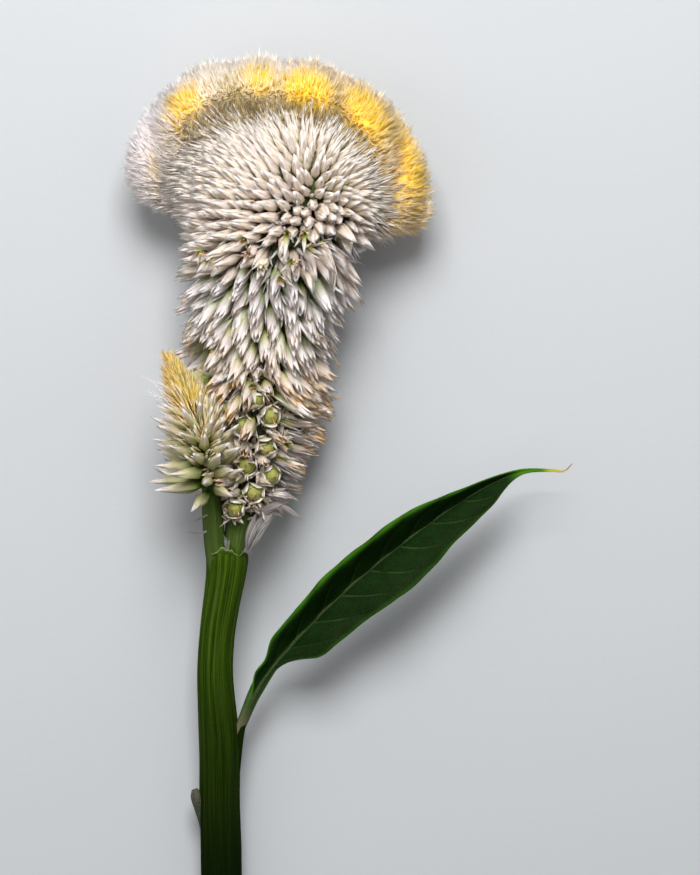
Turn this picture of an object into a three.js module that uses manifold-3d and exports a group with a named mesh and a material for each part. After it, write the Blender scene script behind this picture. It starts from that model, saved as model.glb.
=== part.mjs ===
// Cockscomb celosia (Celosia argentea var. cristata): one cut flowering stem lying on its back.
// Units are millimetres. +X is the flower's right, +Y runs from the cut end to the crest, and +Z is up,
// off the surface that it lies on. Coordinates inside the file start at the stem's cut end, and the
// finished group is moved so that the origin is the middle of the footprint.

import * as THREE from 'three';
import { mergeVertices } from 'three/addons/utils/BufferGeometryUtils.js';
import Module from 'manifold-3d';

const wasm = await Module();
wasm.setup();

// ---------------------------------------------------------------- driving dimensions

const STEM_LENGTH = 66;          // cut end to the fork below the head
const STEM_RADIUS = 3.3;         // of a middle rib
const STEM_RIBS = 12;
const RIB_DEPTH = 0.22;
const HEAD_HEIGHT = 78;          // fork to the crest's ridge
const HEAD_AXIS_Z = 11.0;        // height of the head's axis above the surface
const CREST_START = 71.5;        // height in the head where the yellow crest begins
const SEAT_GAP = 0.3;            // clearance between pieces that grow against each other
const FLORET_SINK = 1.1;         // how deep a floret's root is sunk
const CAPSULE_RADIUS = 1.45;
const LEAF_THICKNESS = 0.7;
const RESTING_TRIM_DEPTH = 30;   // the block that flattens what the flower's weight presses

const UP = new THREE.Vector3(0, 1, 0);
const DEG = Math.PI / 180;

// ---------------------------------------------------------------- helpers

/** Seeded random numbers from 0 to 1, the same each time. */
function seededRandom(seed) {
  let state = seed;
  return () => {
    state = (state + 0x6d2b79f5) | 0;
    let t = Math.imul(state ^ (state >>> 15), 1 | state);
    t = (t + Math.imul(t ^ (t >>> 7), 61 | t)) ^ t;
    return ((t ^ (t >>> 14)) >>> 0) / 4294967296;
  };
}

/** Smooth curve through rows of [position, value, value, ...]: returns position => [values]. */
function smoothThrough(rows) {
  const last = rows.length - 1;
  const slope = (i, k) => {
    const before = rows[Math.max(i - 1, 0)];
    const after = rows[Math.min(i + 1, last)];
    return (after[k] - before[k]) / (after[0] - before[0]);
  };
  return (position) => {
    const at = THREE.MathUtils.clamp(position, rows[0][0], rows[last][0]);
    let i = 0;
    while (i < last - 1 && rows[i + 1][0] < at) i += 1;
    const [start, end] = [rows[i], rows[i + 1]];
    const span = end[0] - start[0];
    const t = (at - start[0]) / span;
    const ease = t * t * (3 - 2 * t);
    return start.slice(1).map((value, j) => {
      const k = j + 1;
      const leave = slope(i, k) * span * t * (1 - t) * (1 - t);
      const arrive = slope(i + 1, k) * span * t * t * (1 - t);
      return value + (end[k] - value) * ease + leave - arrive;
    });
  };
}

/** Triangles of a closed geometry as a Manifold, without seams or collapsed faces. */
function solid(geometry) {
  const bare = geometry.index ? geometry.toNonIndexed() : geometry.clone();
  for (const name of Object.keys(bare.attributes)) {
    if (name !== 'position') bare.deleteAttribute(name);
  }
  const merged = mergeVertices(bare, 1e-4);
  const corners = merged.index.array;
  const kept = [];
  for (let i = 0; i < corners.length; i += 3) {
    const [a, b, c] = corners.subarray(i, i + 3);
    if (a !== b && b !== c && c !== a) kept.push(a, b, c);
  }
  const mesh = new wasm.Mesh({
    numProp: 3,
    vertProperties: new Float32Array(merged.attributes.position.array),
    triVerts: new Uint32Array(kept),
  });
  return new wasm.Manifold(mesh);
}

/** The largest body of a Manifold: loose scraps and sealed hollows are left behind. */
function mainBody(manifold) {
  return manifold.decompose().reduce((best, body) => (body.volume() > best.volume() ? body : best));
}

/** A Manifold's surface as a three.js geometry. */
function geometryOf(manifold) {
  const mesh = manifold.getMesh();
  const geometry = new THREE.BufferGeometry();
  const positions = new Float32Array(mesh.numVert * 3);
  for (let i = 0; i < mesh.numVert; i += 1) {
    for (let axis = 0; axis < 3; axis += 1) {
      positions[3 * i + axis] = mesh.vertProperties[mesh.numProp * i + axis];
    }
  }
  geometry.setAttribute('position', new THREE.BufferAttribute(positions, 3));
  geometry.setIndex(new THREE.BufferAttribute(new Uint32Array(mesh.triVerts), 1));
  geometry.computeVertexNormals();
  return geometry;
}

/** Closed skin over rings of points that run anticlockwise as seen from the last ring. */
function loft(rings) {
  const count = rings[0].length;
  const positions = rings.flat().flatMap((p) => [p.x, p.y, p.z]);
  const index = [];
  for (let row = 0; row < rings.length - 1; row += 1) {
    for (let i = 0; i < count; i += 1) {
      const a = row * count + i;
      const b = row * count + ((i + 1) % count);
      index.push(a, b, b + count, a, b + count, a + count);
    }
  }
  // Each end is closed by a strip from one half of its ring to the other.
  const ends = [[0, -1], [(rings.length - 1) * count, 1]];
  for (const [first, facing] of ends) {
    for (let i = 0; i < count / 2; i += 1) {
      const left = [first + i, first + i + 1];
      const right = [first + ((count - i) % count), first + count - i - 1];
      const faces = [[left[0], left[1], right[1]], [left[0], right[1], right[0]]];
      for (const face of faces) index.push(...(facing > 0 ? face : face.reverse()));
    }
  }
  const geometry = new THREE.BufferGeometry();
  geometry.setAttribute('position', new THREE.Float32BufferAttribute(positions, 3));
  geometry.setIndex(index);
  return geometry;
}

/** Spindle of unit length and unit half-width with flat sides, pointed at its root and its tip. */
function spindle(sides, bellyHeight) {
  const outline = [new THREE.Vector2(0, 0), new THREE.Vector2(1, bellyHeight), new THREE.Vector2(0, 1)];
  return new THREE.LatheGeometry(outline, sides);
}

const PLUMP_FLORET = spindle(4, 0.42);
const SLIM_FLORET = spindle(3, 0.36);
const HAIR_TUFT = spindle(3, 0.25);

/** A spindle or cone set on a point, its root sunk in, pointing along a direction. */
function planted(shape, { point, direction, length, width, twist = 0 }) {
  const root = point.clone().addScaledVector(direction, -FLORET_SINK);
  const turn = new THREE.Quaternion().setFromUnitVectors(UP, direction);
  turn.multiply(new THREE.Quaternion().setFromAxisAngle(UP, twist));
  const reach = length + FLORET_SINK;
  const place = new THREE.Matrix4().compose(root, turn, new THREE.Vector3(width / 2, reach, width / 2));
  return solid(shape.clone().applyMatrix4(place));
}

const join = (pieces) => wasm.Manifold.union(pieces);

/** All that is below the surface that the flower lies on: what would sink into it is pressed flat. */
const underSurface = solid(
  new THREE.BoxGeometry(300, 400, RESTING_TRIM_DEPTH).translate(0, 60, -RESTING_TRIM_DEPTH / 2),
);

/** All that is below the fork, with the seat gap: what grows from the fork stands on it. */
const underFork = solid(new THREE.BoxGeometry(60, 20, 60).translate(0, STEM_LENGTH + SEAT_GAP - 10, 0));

// ---------------------------------------------------------------- stem

// The stem rises from the cut end, which touches the surface, to the head, which is thicker.
// Along the stem: [y, centre x, centre z, half width, half depth].
const stemAt = smoothThrough([
  [0, 0.2, 3.32, 3.35, 3.35],
  [22, -0.3, 4.9, 3.45, 3.3],
  [32, -0.35, 6.2, 3.35, 3.2],
  [42, -0.95, 7.6, 3.0, 3.0],
  [50, -0.6, 8.9, 3.0, 2.95],
  [60, 0.95, 10.6, 3.35, 3.0],
  [STEM_LENGTH, 1.2, 11.4, 3.75, 3.1],
]);

function stemRing(y, swell, ribDepth) {
  const [x, z, halfWidth, halfDepth] = stemAt(y);
  const points = 2 * STEM_RIBS;
  return Array.from({ length: points }, (_, i) => {
    const angle = -i * 2 * Math.PI / points;
    const rib = (i % 2 === 0 ? ribDepth : -ribDepth) / STEM_RADIUS;
    return new THREE.Vector3(
      x + (halfWidth * (1 + rib) + swell) * Math.cos(angle),
      y,
      z + (halfDepth * (1 + rib) + swell) * Math.sin(angle),
    );
  });
}

/** The broken leaf base low on the left side, which runs down into the stem as a ridge. */
function leafScar() {
  const top = new THREE.Vector3(-4.55, 23.6, 5.4);
  const foot = new THREE.Vector3(-2.6, 14.5, 4.6);
  const along = top.clone().sub(foot);
  const scar = spindle(6, 0.8);
  return planted(scar, {
    point: foot,
    direction: along.clone().normalize(),
    length: along.length(),
    width: 2.5,
  });
}

/** The petiole's ridge below the leaf, on the right. */
function petioleRidge() {
  const foot = new THREE.Vector3(2.2, 22, 5.2);
  const top = new THREE.Vector3(2.5, 32.2, 6.3);
  const along = top.clone().sub(foot);
  return planted(spindle(6, 0.75), {
    point: foot,
    direction: along.clone().normalize(),
    length: along.length(),
    width: 1.9,
  });
}

function stemSolid() {
  const stations = 13;
  const rings = Array.from({ length: stations }, (_, i) => (
    stemRing(STEM_LENGTH * i / (stations - 1), 0, RIB_DEPTH)
  ));
  return join([solid(loft(rings)), leafScar(), petioleRidge()]).subtract(underSurface);
}

/** The stem grown all round by the seat gap, to cut what stands against it. */
function stemClearance() {
  const rings = [5, 20, 28, 36, 48, 60].map((y) => stemRing(y, SEAT_GAP + RIB_DEPTH, 0));
  return solid(loft(rings));
}

// ---------------------------------------------------------------- head

// The head is the stalk broadened into a fan. Level lines run round it. Low down they are straight in
// plan, and in the fan they are a short flat run with an arc at each side. By height above the fork:
// [height, centre x, flat half, left half, right half, left bend (1/radius), right bend, front, back depth].
const headAt = smoothThrough([
  [0, 2.9, 0, 1.95, 1.95, 0, 0, 1.9, 1.9],
  [4, 3.8, 0, 2.9, 2.9, 0, 0, 2.9, 2.8],
  [9, 4.9, 0, 4.5, 4.5, 0, 0, 4.7, 4.2],
  [17, 5.6, 0, 6.3, 6.3, 0, 0, 6.4, 5.6],
  [30, 6.2, 0, 7.4, 7.4, 0, 0, 7.8, 6.2],
  [42, 7.7, 0, 9.0, 9.0, 0, 0, 9.8, 7.2],
  [50.5, 9.2, 0.2, 10.8, 10.8, 0.03, 0.03, 11.6, 8.4],
  [59, 9.6, 0.7, 13.8, 15.4, 0.078, 0.078, 11.6, 8.8],
  [65, 8.8, 1.4, 18.6, 21.9, 0.083, 0.076, 9.4, 8.0],
  [71, 8.0, 2.3, 26.4, 32.4, 0.064, 0.0545, 5.8, 5.6],
  [75.5, 7.5, 2.8, 30.6, 38.8, 0.056, 0.045, 3.8, 3.8],
  [HEAD_HEIGHT, 7.3, 2.9, 32.2, 41.0, 0.0525, 0.0418, 1.5, 1.5],
]);
const HEAD_BASE_Y = STEM_LENGTH + SEAT_GAP;
const FOLD_REACH = 2.2;          // how far the ridge swings up and down
const FOLD_LENGTH = 11.6;        // of ridge from one fold to the next
const FOLD_PEAK = 8.4;           // place of a fold's peak along the ridge

/** Height of the head's axis: it starts on the stem and levels out. */
function headAxisZ(height) {
  const t = THREE.MathUtils.smoothstep(height, 0, 22);
  return THREE.MathUtils.lerp(stemAt(STEM_LENGTH)[1], HEAD_AXIS_Z, t);
}

/** Point of the head's core at a height and an angle round it: 0 right, 90 degrees front, 180 left. */
function headPoint(height, angle) {
  const [x, flat, left, right, leftBend, rightBend, front, back] = headAt(height);
  const rightward = Math.cos(angle) > 0;
  const across = (rightward ? right : left) * Math.cos(angle);
  const bend = Math.max(rightward ? rightBend : leftBend, 1e-4);
  const run = THREE.MathUtils.clamp(across, -flat, flat);
  const swing = bend * (across - run);
  const depth = Math.sin(angle) * (Math.sin(angle) > 0 ? front : back);
  const folding = THREE.MathUtils.smoothstep(height, 67, 75);
  const fold = folding * FOLD_REACH * Math.cos(2 * Math.PI * (across - FOLD_PEAK) / FOLD_LENGTH);
  return new THREE.Vector3(
    x + run + Math.sin(swing) / bend,
    HEAD_BASE_Y + height - (1 - Math.cos(swing)) / bend,
    headAxisZ(height) + depth + fold,
  );
}

/** Point, outward normal and direction to the crest on the head's core. */
function headFrame(height, angle) {
  const step = 0.05;
  const point = headPoint(height, angle);
  const low = Math.max(height - step, 0);
  const toCrest = headPoint(Math.min(height + step, HEAD_HEIGHT), angle).sub(headPoint(low, angle));
  const round = headPoint(height, angle + step).sub(headPoint(height, angle - step));
  const normal = round.clone().cross(toCrest).normalize().negate();
  return { height, angle, point, normal, toCrest: toCrest.normalize() };
}

// Florets by height: [height, length, spacing, lean in degrees from the normal towards the crest].
// The bare stalk is at the bottom, and the fine hairs of the crest are at the top.
const floretAt = smoothThrough([
  [0, 0.1, 1.8, 0],
  [3, 0.2, 2.4, 0],
  [6, 3.9, 2.7, 14],
  [12, 5.4, 3.1, 6],
  [20, 6.1, 3.2, -8],
  [30, 6.4, 3.2, -36],
  [42, 6.2, 3.2, -36],
  [48, 5.8, 3.0, -22],
  [53, 5.2, 2.8, 0],
  [58, 4.6, 2.6, 28],
  [64, 3.9, 2.35, 42],
  [68.5, 3.2, 2.1, 48],
  [72, 2.8, 2.0, 55],
  [HEAD_HEIGHT, 2.6, 2.0, 68],
]);
const ROW_PITCH = 0.87;          // of one ring above the next, in shares of the florets' spacing
const LENGTH_VARIATION = 0.08;   // of a floret, either way
const UNDERSIDE = -0.3;          // normals that point further down than this are on the underside
const PRESSED = 0.72;            // florets on the underside are squashed shorter by the weight
const TRIMMED = 0.25;            // length left of a floret that crowds an open one
const TIP_ROOM = 1;              // how much of its neighbours' thickness a floret keeps clear of
const UNCROWDING_PASSES = 16;
const SHORTENING = 0.88;         // of a crowded floret in each pass

/** Rings of even places on the head, staggered, from the fork to the ridge. */
function ringsOnHead() {
  const samples = 160;
  const rings = [];
  let height = 0;
  while (height <= HEAD_HEIGHT) {
    const gap = floretAt(height)[1];
    const line = Array.from({ length: samples + 1 }, (_, i) => headPoint(height, 2 * Math.PI * i / samples));
    const lengths = [0];
    for (let i = 1; i <= samples; i += 1) lengths.push(lengths[i - 1] + line[i].distanceTo(line[i - 1]));
    const count = 2 * Math.max(3, Math.round(lengths[samples] / gap / 2));
    const stagger = rings.length % 2 / 2;
    rings.push(Array.from({ length: count }, (_, i) => {
      const wanted = (i + stagger) / count * lengths[samples];
      const after = Math.max(1, lengths.findIndex((length) => length >= wanted));
      const share = (wanted - lengths[after - 1]) / (lengths[after] - lengths[after - 1]);
      return headFrame(height, 2 * Math.PI * (after - 1 + share) / samples);
    }));
    const climb = headPoint(height + 0.5, Math.PI / 2).distanceTo(headPoint(height, Math.PI / 2)) / 0.5;
    height += ROW_PITCH * gap / climb;
  }
  return rings;
}

/** Triangles between the places of neighbouring rings, and across the first and the last ring. */
function netOver(rings) {
  const firsts = [0];
  for (const ring of rings) firsts.push(firsts.at(-1) + ring.length);
  const net = [];
  for (let row = 0; row < rings.length - 1; row += 1) {
    const [low, high] = [rings[row], rings[row + 1]];
    const [lowSkip, highSkip] = [row % 2 / 2, (row + 1) % 2 / 2];
    let [i, j] = [0, 0];
    while (i < low.length || j < high.length) {
      const a = firsts[row] + (i % low.length);
      const b = firsts[row + 1] + (j % high.length);
      const stepLow = (i + 1 + lowSkip) / low.length <= (j + 1 + highSkip) / high.length;
      if (i < low.length && (stepLow || j === high.length)) {
        net.push([a, b, firsts[row] + ((i + 1) % low.length)]);
        i += 1;
      } else {
        net.push([a, b, firsts[row + 1] + ((j + 1) % high.length)]);
        j += 1;
      }
    }
  }
  for (const [row, upwards] of [[0, false], [rings.length - 1, true]]) {
    const count = rings[row].length;
    for (let i = 0; i < count / 2; i += 1) {
      const right = [i, i + 1].map((k) => firsts[row] + (k % count));
      const left = [count - i, count - i - 1].map((k) => firsts[row] + (k % count));
      const faces = [[right[0], right[1], left[1]], [right[0], left[1], left[0]]];
      net.push(...faces.map((face) => (upwards ? face.reverse() : face)));
    }
  }
  return net.filter(([a, b, c]) => a !== b && b !== c && c !== a);
}

/** Skin raised to a point at each place, with a hollow in the middle of each triangle of the net. */
function raisedSkin(tips, roots, net) {
  const hollows = net.map((corners) => (
    corners.reduce((sum, corner) => sum.add(roots[corner]), new THREE.Vector3()).divideScalar(3)
  ));
  const beside = new Map();
  net.forEach(([a, b, c], t) => [[a, b], [b, c], [c, a]].forEach(([from, to]) => {
    beside.set(`${from},${to}`, t);
  }));
  const index = [];
  net.forEach(([a, b, c], t) => [[a, b], [b, c], [c, a]].forEach(([from, to]) => {
    index.push(from, tips.length + beside.get(`${to},${from}`), tips.length + t);
  }));
  const geometry = new THREE.BufferGeometry();
  const positions = [...tips, ...hollows].flatMap((p) => [p.x, p.y, p.z]);
  geometry.setAttribute('position', new THREE.Float32BufferAttribute(positions, 3));
  geometry.setIndex(index);
  return solid(geometry);
}

/** Direction that leans from the normal towards the crest by an angle, or away from it if negative. */
function leaning({ normal, toCrest }, lean) {
  return normal.clone().multiplyScalar(Math.cos(lean)).addScaledVector(toCrest, Math.sin(lean)).normalize();
}

const axisOf = ({ point, direction, length }) => (
  new THREE.Line3(point, point.clone().addScaledVector(direction, length))
);

/** Whether the outer part of a floret runs into a second floret, which tapers from its root to its tip. */
function runsInto(floret, other) {
  const [axis, otherAxis] = [axisOf(floret), axisOf(other)];
  const [at, nearest] = [new THREE.Vector3(), new THREE.Vector3()];
  return [0.55, 0.7, 0.85, 1].some((share) => {
    axis.at(share, at);
    const along = otherAxis.closestPointToPointParameter(at, true);
    otherAxis.at(along, nearest);
    const room = (1 - along) * other.spread / 2 + (1 - share) * floret.spread / 2;
    return at.distanceTo(nearest) < TIP_ROOM * room;
  });
}

/** Shortens, little by little, the florets that would run into others in the hollows of the comb. */
function uncrowd(florets) {
  const near = florets.map((floret) => florets.filter((other) => (
    other !== floret && other.point.distanceTo(floret.point) < floret.length + other.length
  )));
  for (let pass = 0; pass < UNCROWDING_PASSES; pass += 1) {
    const crowded = florets.filter((floret, i) => near[i].some((other) => runsInto(floret, other)));
    crowded.forEach((floret) => {
      floret.length *= SHORTENING;
    });
  }
}

/** The whole comb, white florets and yellow crest, on its hidden core. */
function combSolid(isCrowded) {
  const random = seededRandom(11);
  const rings = ringsOnHead();
  const florets = rings.flat().map((place) => {
    const [length, spread, lean] = floretAt(place.height);
    const pressed = place.normal.z < UNDERSIDE ? PRESSED : 1;
    const varied = length * pressed * (1 + LENGTH_VARIATION * (2 * random() - 1));
    const reach = isCrowded(place) ? TRIMMED : varied;
    return { ...place, direction: leaning(place, lean * DEG), length: reach, spread };
  });
  uncrowd(florets);
  const tips = florets.map((floret) => axisOf(floret).end);
  return raisedSkin(tips, florets.map(({ point }) => point), netOver(rings));
}

// ---------------------------------------------------------------- open florets and their capsules

// Ripe florets on the front of the lower head, each open round one green seed capsule: [x, y].
const CAPSULE_PLACES = [
  [3.0, 71.4], [5.4, 74.4], [7.9, 76.8], [4.8, 78.3], [7.4, 81.8],
  [4.6, 84.6], [8.1, 86.8], [2.4, 87.6], [5.8, 89.4],
];
const TEPALS = 5;
const STYLE_LENGTH = 1.1;
const CAPSULE_CLEARING = 2.9;    // closer than this, the florets round a capsule are only stubs

/** Where a ripe floret sits: the head's surface frame at the given x and y on the front. */
function ripeFloret([x, y]) {
  const height = y - HEAD_BASE_Y;
  const [centreX, , , half] = headAt(height);
  return headFrame(height, Math.acos((x - centreX) / half));
}

function capsuleCentre({ point, normal }) {
  return point.clone().addScaledVector(normal, 0.75 * CAPSULE_RADIUS);
}

function egg(centre, direction, radius) {
  const ball = new THREE.SphereGeometry(radius, 7, 5);
  const turn = new THREE.Quaternion().setFromUnitVectors(UP, direction);
  return solid(ball.applyMatrix4(new THREE.Matrix4().compose(centre, turn, new THREE.Vector3(1, 1.12, 1))));
}

/** A green capsule with the dry style on its lid. */
function capsuleSolid(frame) {
  const centre = capsuleCentre(frame);
  const lid = centre.clone().addScaledVector(frame.normal, CAPSULE_RADIUS);
  const style = planted(HAIR_TUFT, { point: lid, direction: frame.normal, length: STYLE_LENGTH, width: 0.9 });
  return join([egg(centre, frame.normal, CAPSULE_RADIUS), style]);
}

/** The five tepals that stand round a capsule as a star. */
function openTepals(frame) {
  const across = frame.toCrest.clone().cross(frame.normal).normalize();
  return Array.from({ length: TEPALS }, (_, i) => {
    const angle = 2 * Math.PI * (i + 0.25) / TEPALS;
    const outward = frame.toCrest.clone().multiplyScalar(Math.cos(angle));
    outward.addScaledVector(across, Math.sin(angle));
    const point = frame.point.clone().addScaledVector(outward, CAPSULE_RADIUS + 0.25);
    const direction = frame.normal.clone().addScaledVector(outward, 0.42).normalize();
    return planted(SLIM_FLORET, { point, direction, length: 2.9, width: 1.7, twist: angle });
  });
}

/** The hollow that a capsule and its style stand in, with the seat gap all round. */
function capsulePocket(frame) {
  const centre = capsuleCentre(frame);
  const lid = centre.clone().addScaledVector(frame.normal, CAPSULE_RADIUS + SEAT_GAP);
  const length = STYLE_LENGTH + 0.4;
  const style = planted(HAIR_TUFT, { point: lid, direction: frame.normal, length, width: 1.6 });
  return join([egg(centre, frame.normal, CAPSULE_RADIUS + SEAT_GAP), style]);
}

const ripeFrames = CAPSULE_PLACES.map(ripeFloret);
const capsulePockets = join(ripeFrames.map(capsulePocket));

function crowdsCapsule({ point }) {
  return ripeFrames.some((frame) => frame.point.distanceTo(point) < CAPSULE_CLEARING);
}

// ---------------------------------------------------------------- side spike

// A second, small flower spike beside the head on a stalk of its own, from the same fork.
const spikeAxis = new THREE.CatmullRomCurve3([
  new THREE.Vector3(-0.9, STEM_LENGTH - 1, 12),
  new THREE.Vector3(-1.2, 70.5, 13.6),
  new THREE.Vector3(-1.7, 76, 16.2),
  new THREE.Vector3(-3.1, 83.5, 17.6),
  new THREE.Vector3(-5.6, 90, 17.8),
  new THREE.Vector3(-8.7, 97, 17.4),
]);
// Along the spike: [share, core radius, floret length, floret width, lean towards the tip in degrees].
const spikeAt = smoothThrough([
  [0, 1.35, 7.4, 2.2, 0],
  [0.25, 1.5, 7.8, 2.4, 2],
  [0.45, 1.9, 8.0, 2.5, 14],
  [0.62, 1.9, 7.0, 2.3, 28],
  [0.78, 1.5, 5.6, 1.8, 42],
  [0.9, 1.0, 3.8, 1.5, 60],
  [1, 0.35, 2.6, 1.1, 80],
]);
const SPIKE_FLORETS_START = 0.25;
const SPIKE_TIP_START = 0.68;    // beyond this share the florets are young and yellow
const SPIKE_ROUND = 10;          // sides of its core
const HEADWARD = new THREE.Vector3(1, 0, -0.3).normalize();  // where the head is, seen from the spike
const CROWDED = 0.58;            // how much shorter florets are on the side next to the head

function spikeFrame(share, angle) {
  const centre = spikeAxis.getPointAt(share);
  const along = spikeAxis.getTangentAt(share);
  const side = new THREE.Vector3(0, 0, 1).cross(along).normalize();
  const front = along.clone().cross(side);
  const normal = side.multiplyScalar(Math.cos(angle)).addScaledVector(front, Math.sin(angle));
  const crowding = Math.max(0, normal.dot(HEADWARD));
  return { centre, along, normal, reach: 1 - CROWDED * crowding };
}

/** Skin round the spike's axis whose radius is radiusAt(share, reach). */
function spikeSkin(from, to, stations, radiusAt) {
  const rings = Array.from({ length: stations }, (_, row) => {
    const share = THREE.MathUtils.lerp(from, to, row / (stations - 1));
    return Array.from({ length: SPIKE_ROUND }, (_, i) => {
      const { centre, normal, reach } = spikeFrame(share, 2 * Math.PI * i / SPIKE_ROUND);
      return centre.clone().addScaledVector(normal, radiusAt(share, reach));
    });
  });
  return solid(loft(rings));
}

/** Florets in a spiral round the spike between two shares of its length. */
function spikeFlorets(from, to, count, shape, seed) {
  const random = seededRandom(seed);
  const golden = Math.PI * (3 - Math.sqrt(5));
  return Array.from({ length: count }, (_, i) => {
    const share = THREE.MathUtils.lerp(from, to, (i + 0.5) / count);
    const { centre, along, normal, reach } = spikeFrame(share, golden * i);
    const [radius, length, width, lean] = spikeAt(share);
    const direction = normal.clone().multiplyScalar(Math.cos(lean * DEG));
    direction.addScaledVector(along, Math.sin(lean * DEG)).normalize();
    return planted(shape, {
      point: centre.addScaledVector(normal, radius),
      direction,
      length: length * reach * (0.94 + 0.12 * random()),
      width,
      twist: 6 * random(),
    });
  });
}

function spikeCore(from, to, stations) {
  return spikeSkin(from, to, stations, (share) => spikeAt(share)[0]);
}

/** Room that the whole spike needs, with the seat gap: the head is cut back to it. */
function spikeClearance() {
  return spikeSkin(0, 1, 9, (share, reach) => {
    const [radius, length, width, lean] = spikeAt(share);
    if (share < 0.1) return radius + SEAT_GAP + 0.1;
    return radius + length * reach * 1.06 * Math.cos(lean * DEG) + width / 4 + SEAT_GAP;
  });
}

// ---------------------------------------------------------------- dry bracts under the head

// Withered bracts hanging at the right of the fork: [root, bend, tip, width].
const DRY_BRACTS = [
  [[4.6, 67.6, 13.2], [6.6, 69.6, 15.6], [9.6, 71.4, 16.4], 1.9],
  [[5.6, 70.2, 14.6], [10.8, 70.8, 16.6], [14.4, 68.9, 17.0], 1.3],
  [[4.4, 67.6, 11.0], [6.3, 69.2, 11.4], [8.4, 69.6, 11.6], 1.6],
];

/** A narrow blade along a curve through three points, widest in its middle. */
function ribbon(points, width, thickness) {
  const curve = new THREE.CatmullRomCurve3(points);
  const stations = 6;
  const rings = Array.from({ length: stations }, (_, row) => {
    const share = row / (stations - 1);
    const centre = curve.getPointAt(share);
    const along = curve.getTangentAt(share);
    const side = along.clone().cross(new THREE.Vector3(0, 0, 1)).normalize();
    const flat = side.clone().cross(along).normalize();
    const half = width / 2 * (0.35 + 0.65 * Math.sin(Math.PI * (0.15 + 0.8 * share)));
    return [[-1, 0], [0, -1], [1, 0], [0, 1]].map(([sideways, up]) => (
      centre.clone().addScaledVector(side, sideways * half).addScaledVector(flat, up * thickness / 2)
    ));
  });
  return solid(loft(rings.map((ring) => ring.reverse())));
}

function dryBracts() {
  return DRY_BRACTS.map(([root, bend, tip, width]) => {
    const points = [root, bend, tip].map((p) => new THREE.Vector3(...p));
    return ribbon(points, width, 0.7);
  });
}

// ---------------------------------------------------------------- comb

/** Upright prism under a level line of the fan: all that lies on the head's side of it. */
function fanBelow(height) {
  const steps = 40;
  const side = Array.from({ length: steps + 1 }, (_, i) => headPoint(height, Math.PI * i / steps));
  const outline = side.map(({ x, y }) => new THREE.Vector2(x, y));
  const foot = [new THREE.Vector2(-12, STEM_LENGTH - 10), new THREE.Vector2(32, STEM_LENGTH - 10)];
  const shape = new THREE.Shape([...outline, ...foot]);
  return solid(new THREE.ExtrudeGeometry(shape, { depth: 60, bevelEnabled: false }).translate(0, 0, -10));
}

const comb = combSolid(crowdsCapsule);

/** The white florets below the crest, with the open ones, the dry bracts and the bare stalk. */
function combFlorets() {
  const whole = join([
    comb.intersect(fanBelow(CREST_START - SEAT_GAP / 2)),
    ...ripeFrames.flatMap(openTepals),
    ...dryBracts(),
  ]);
  return whole.subtract(join([capsulePockets, spikeClearance(), underSurface]));
}

/** The folded yellow ridge of young florets along the top of the fan. */
function combCrest() {
  return comb.subtract(join([fanBelow(CREST_START + SEAT_GAP / 2), underSurface]));
}

// ---------------------------------------------------------------- leaf

// Midrib from inside the stem to the curled tip.
const midrib = new THREE.CatmullRomCurve3([
  new THREE.Vector3(1.6, 30.6, 6.3),
  new THREE.Vector3(3.4, 34.6, 7.2),
  new THREE.Vector3(5.6, 39.6, 8.1),
  new THREE.Vector3(9.0, 45.0, 8.9),
  new THREE.Vector3(18.9, 55.6, 10.0),
  new THREE.Vector3(31.5, 66.1, 10.4),
  new THREE.Vector3(43.3, 74.1, 10.0),
  new THREE.Vector3(50.1, 77.1, 9.7),
  new THREE.Vector3(55.2, 77.4, 9.6),
  new THREE.Vector3(57.6, 77.3, 9.9),
  new THREE.Vector3(58.9, 78.5, 10.4),
]);
// The blade is folded along its midrib, the upper half steeply. By share of the midrib:
// [share, upper half's reach, its rise, lower half's reach, its rise].
const bladeAt = smoothThrough([
  [0, 0.8, 0.2, 0.8, 0.2],
  [0.1, 0.75, 0.4, 0.75, 0.3],
  [0.15, 1.7, 1.2, 0.8, 0.4],
  [0.18, 1.75, 1.8, 0.85, 0.45],
  [0.22, 2.9, 3.4, 1.3, 0.6],
  [0.26, 3.1, 4.6, 3.9, 1.3],
  [0.3, 3.2, 5.2, 5.1, 1.8],
  [0.4, 3.9, 5.9, 6.2, 2.3],
  [0.52, 3.8, 6.2, 7.0, 2.6],
  [0.6, 3.7, 5.8, 6.4, 2.4],
  [0.67, 2.9, 4.8, 5.2, 2.0],
  [0.74, 1.8, 3.4, 4.3, 1.5],
  [0.8, 1.1, 2.1, 3.1, 1.0],
  [0.85, 0.6, 0.9, 1.3, 0.4],
  [0.885, 0.45, 0.3, 0.45, 0.2],
  [1, 0.32, 0.1, 0.32, 0.1],
]);
const MARGIN_WAVE = 0.5;         // how far the margin swings up and down
const WAVE_TURN = 34;            // radians of wave along the whole midrib
const MIDRIB_SWELL = 0.9;        // how much thicker the midrib is than the blade at its base

/** Point of the blade's middle surface: across runs from -1, the lower margin, to 1, the upper one. */
function bladePoint(share, across) {
  const centre = midrib.getPointAt(share);
  const along = midrib.getTangentAt(share);
  const side = new THREE.Vector3(0, 0, 1).cross(along).normalize();
  const [upperReach, upperRise, lowerReach, lowerRise] = bladeAt(share);
  const [reach, rise] = across > 0 ? [upperReach, upperRise] : [lowerReach, lowerRise];
  const part = Math.abs(across);
  const wide = THREE.MathUtils.smoothstep(reach, 1, 3);
  const wave = MARGIN_WAVE * wide * part * part * Math.sin(WAVE_TURN * share + 2 * Math.sign(across));
  centre.addScaledVector(side, across * reach);
  centre.z += rise * part ** 1.25 + wave;
  return centre;
}

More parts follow.
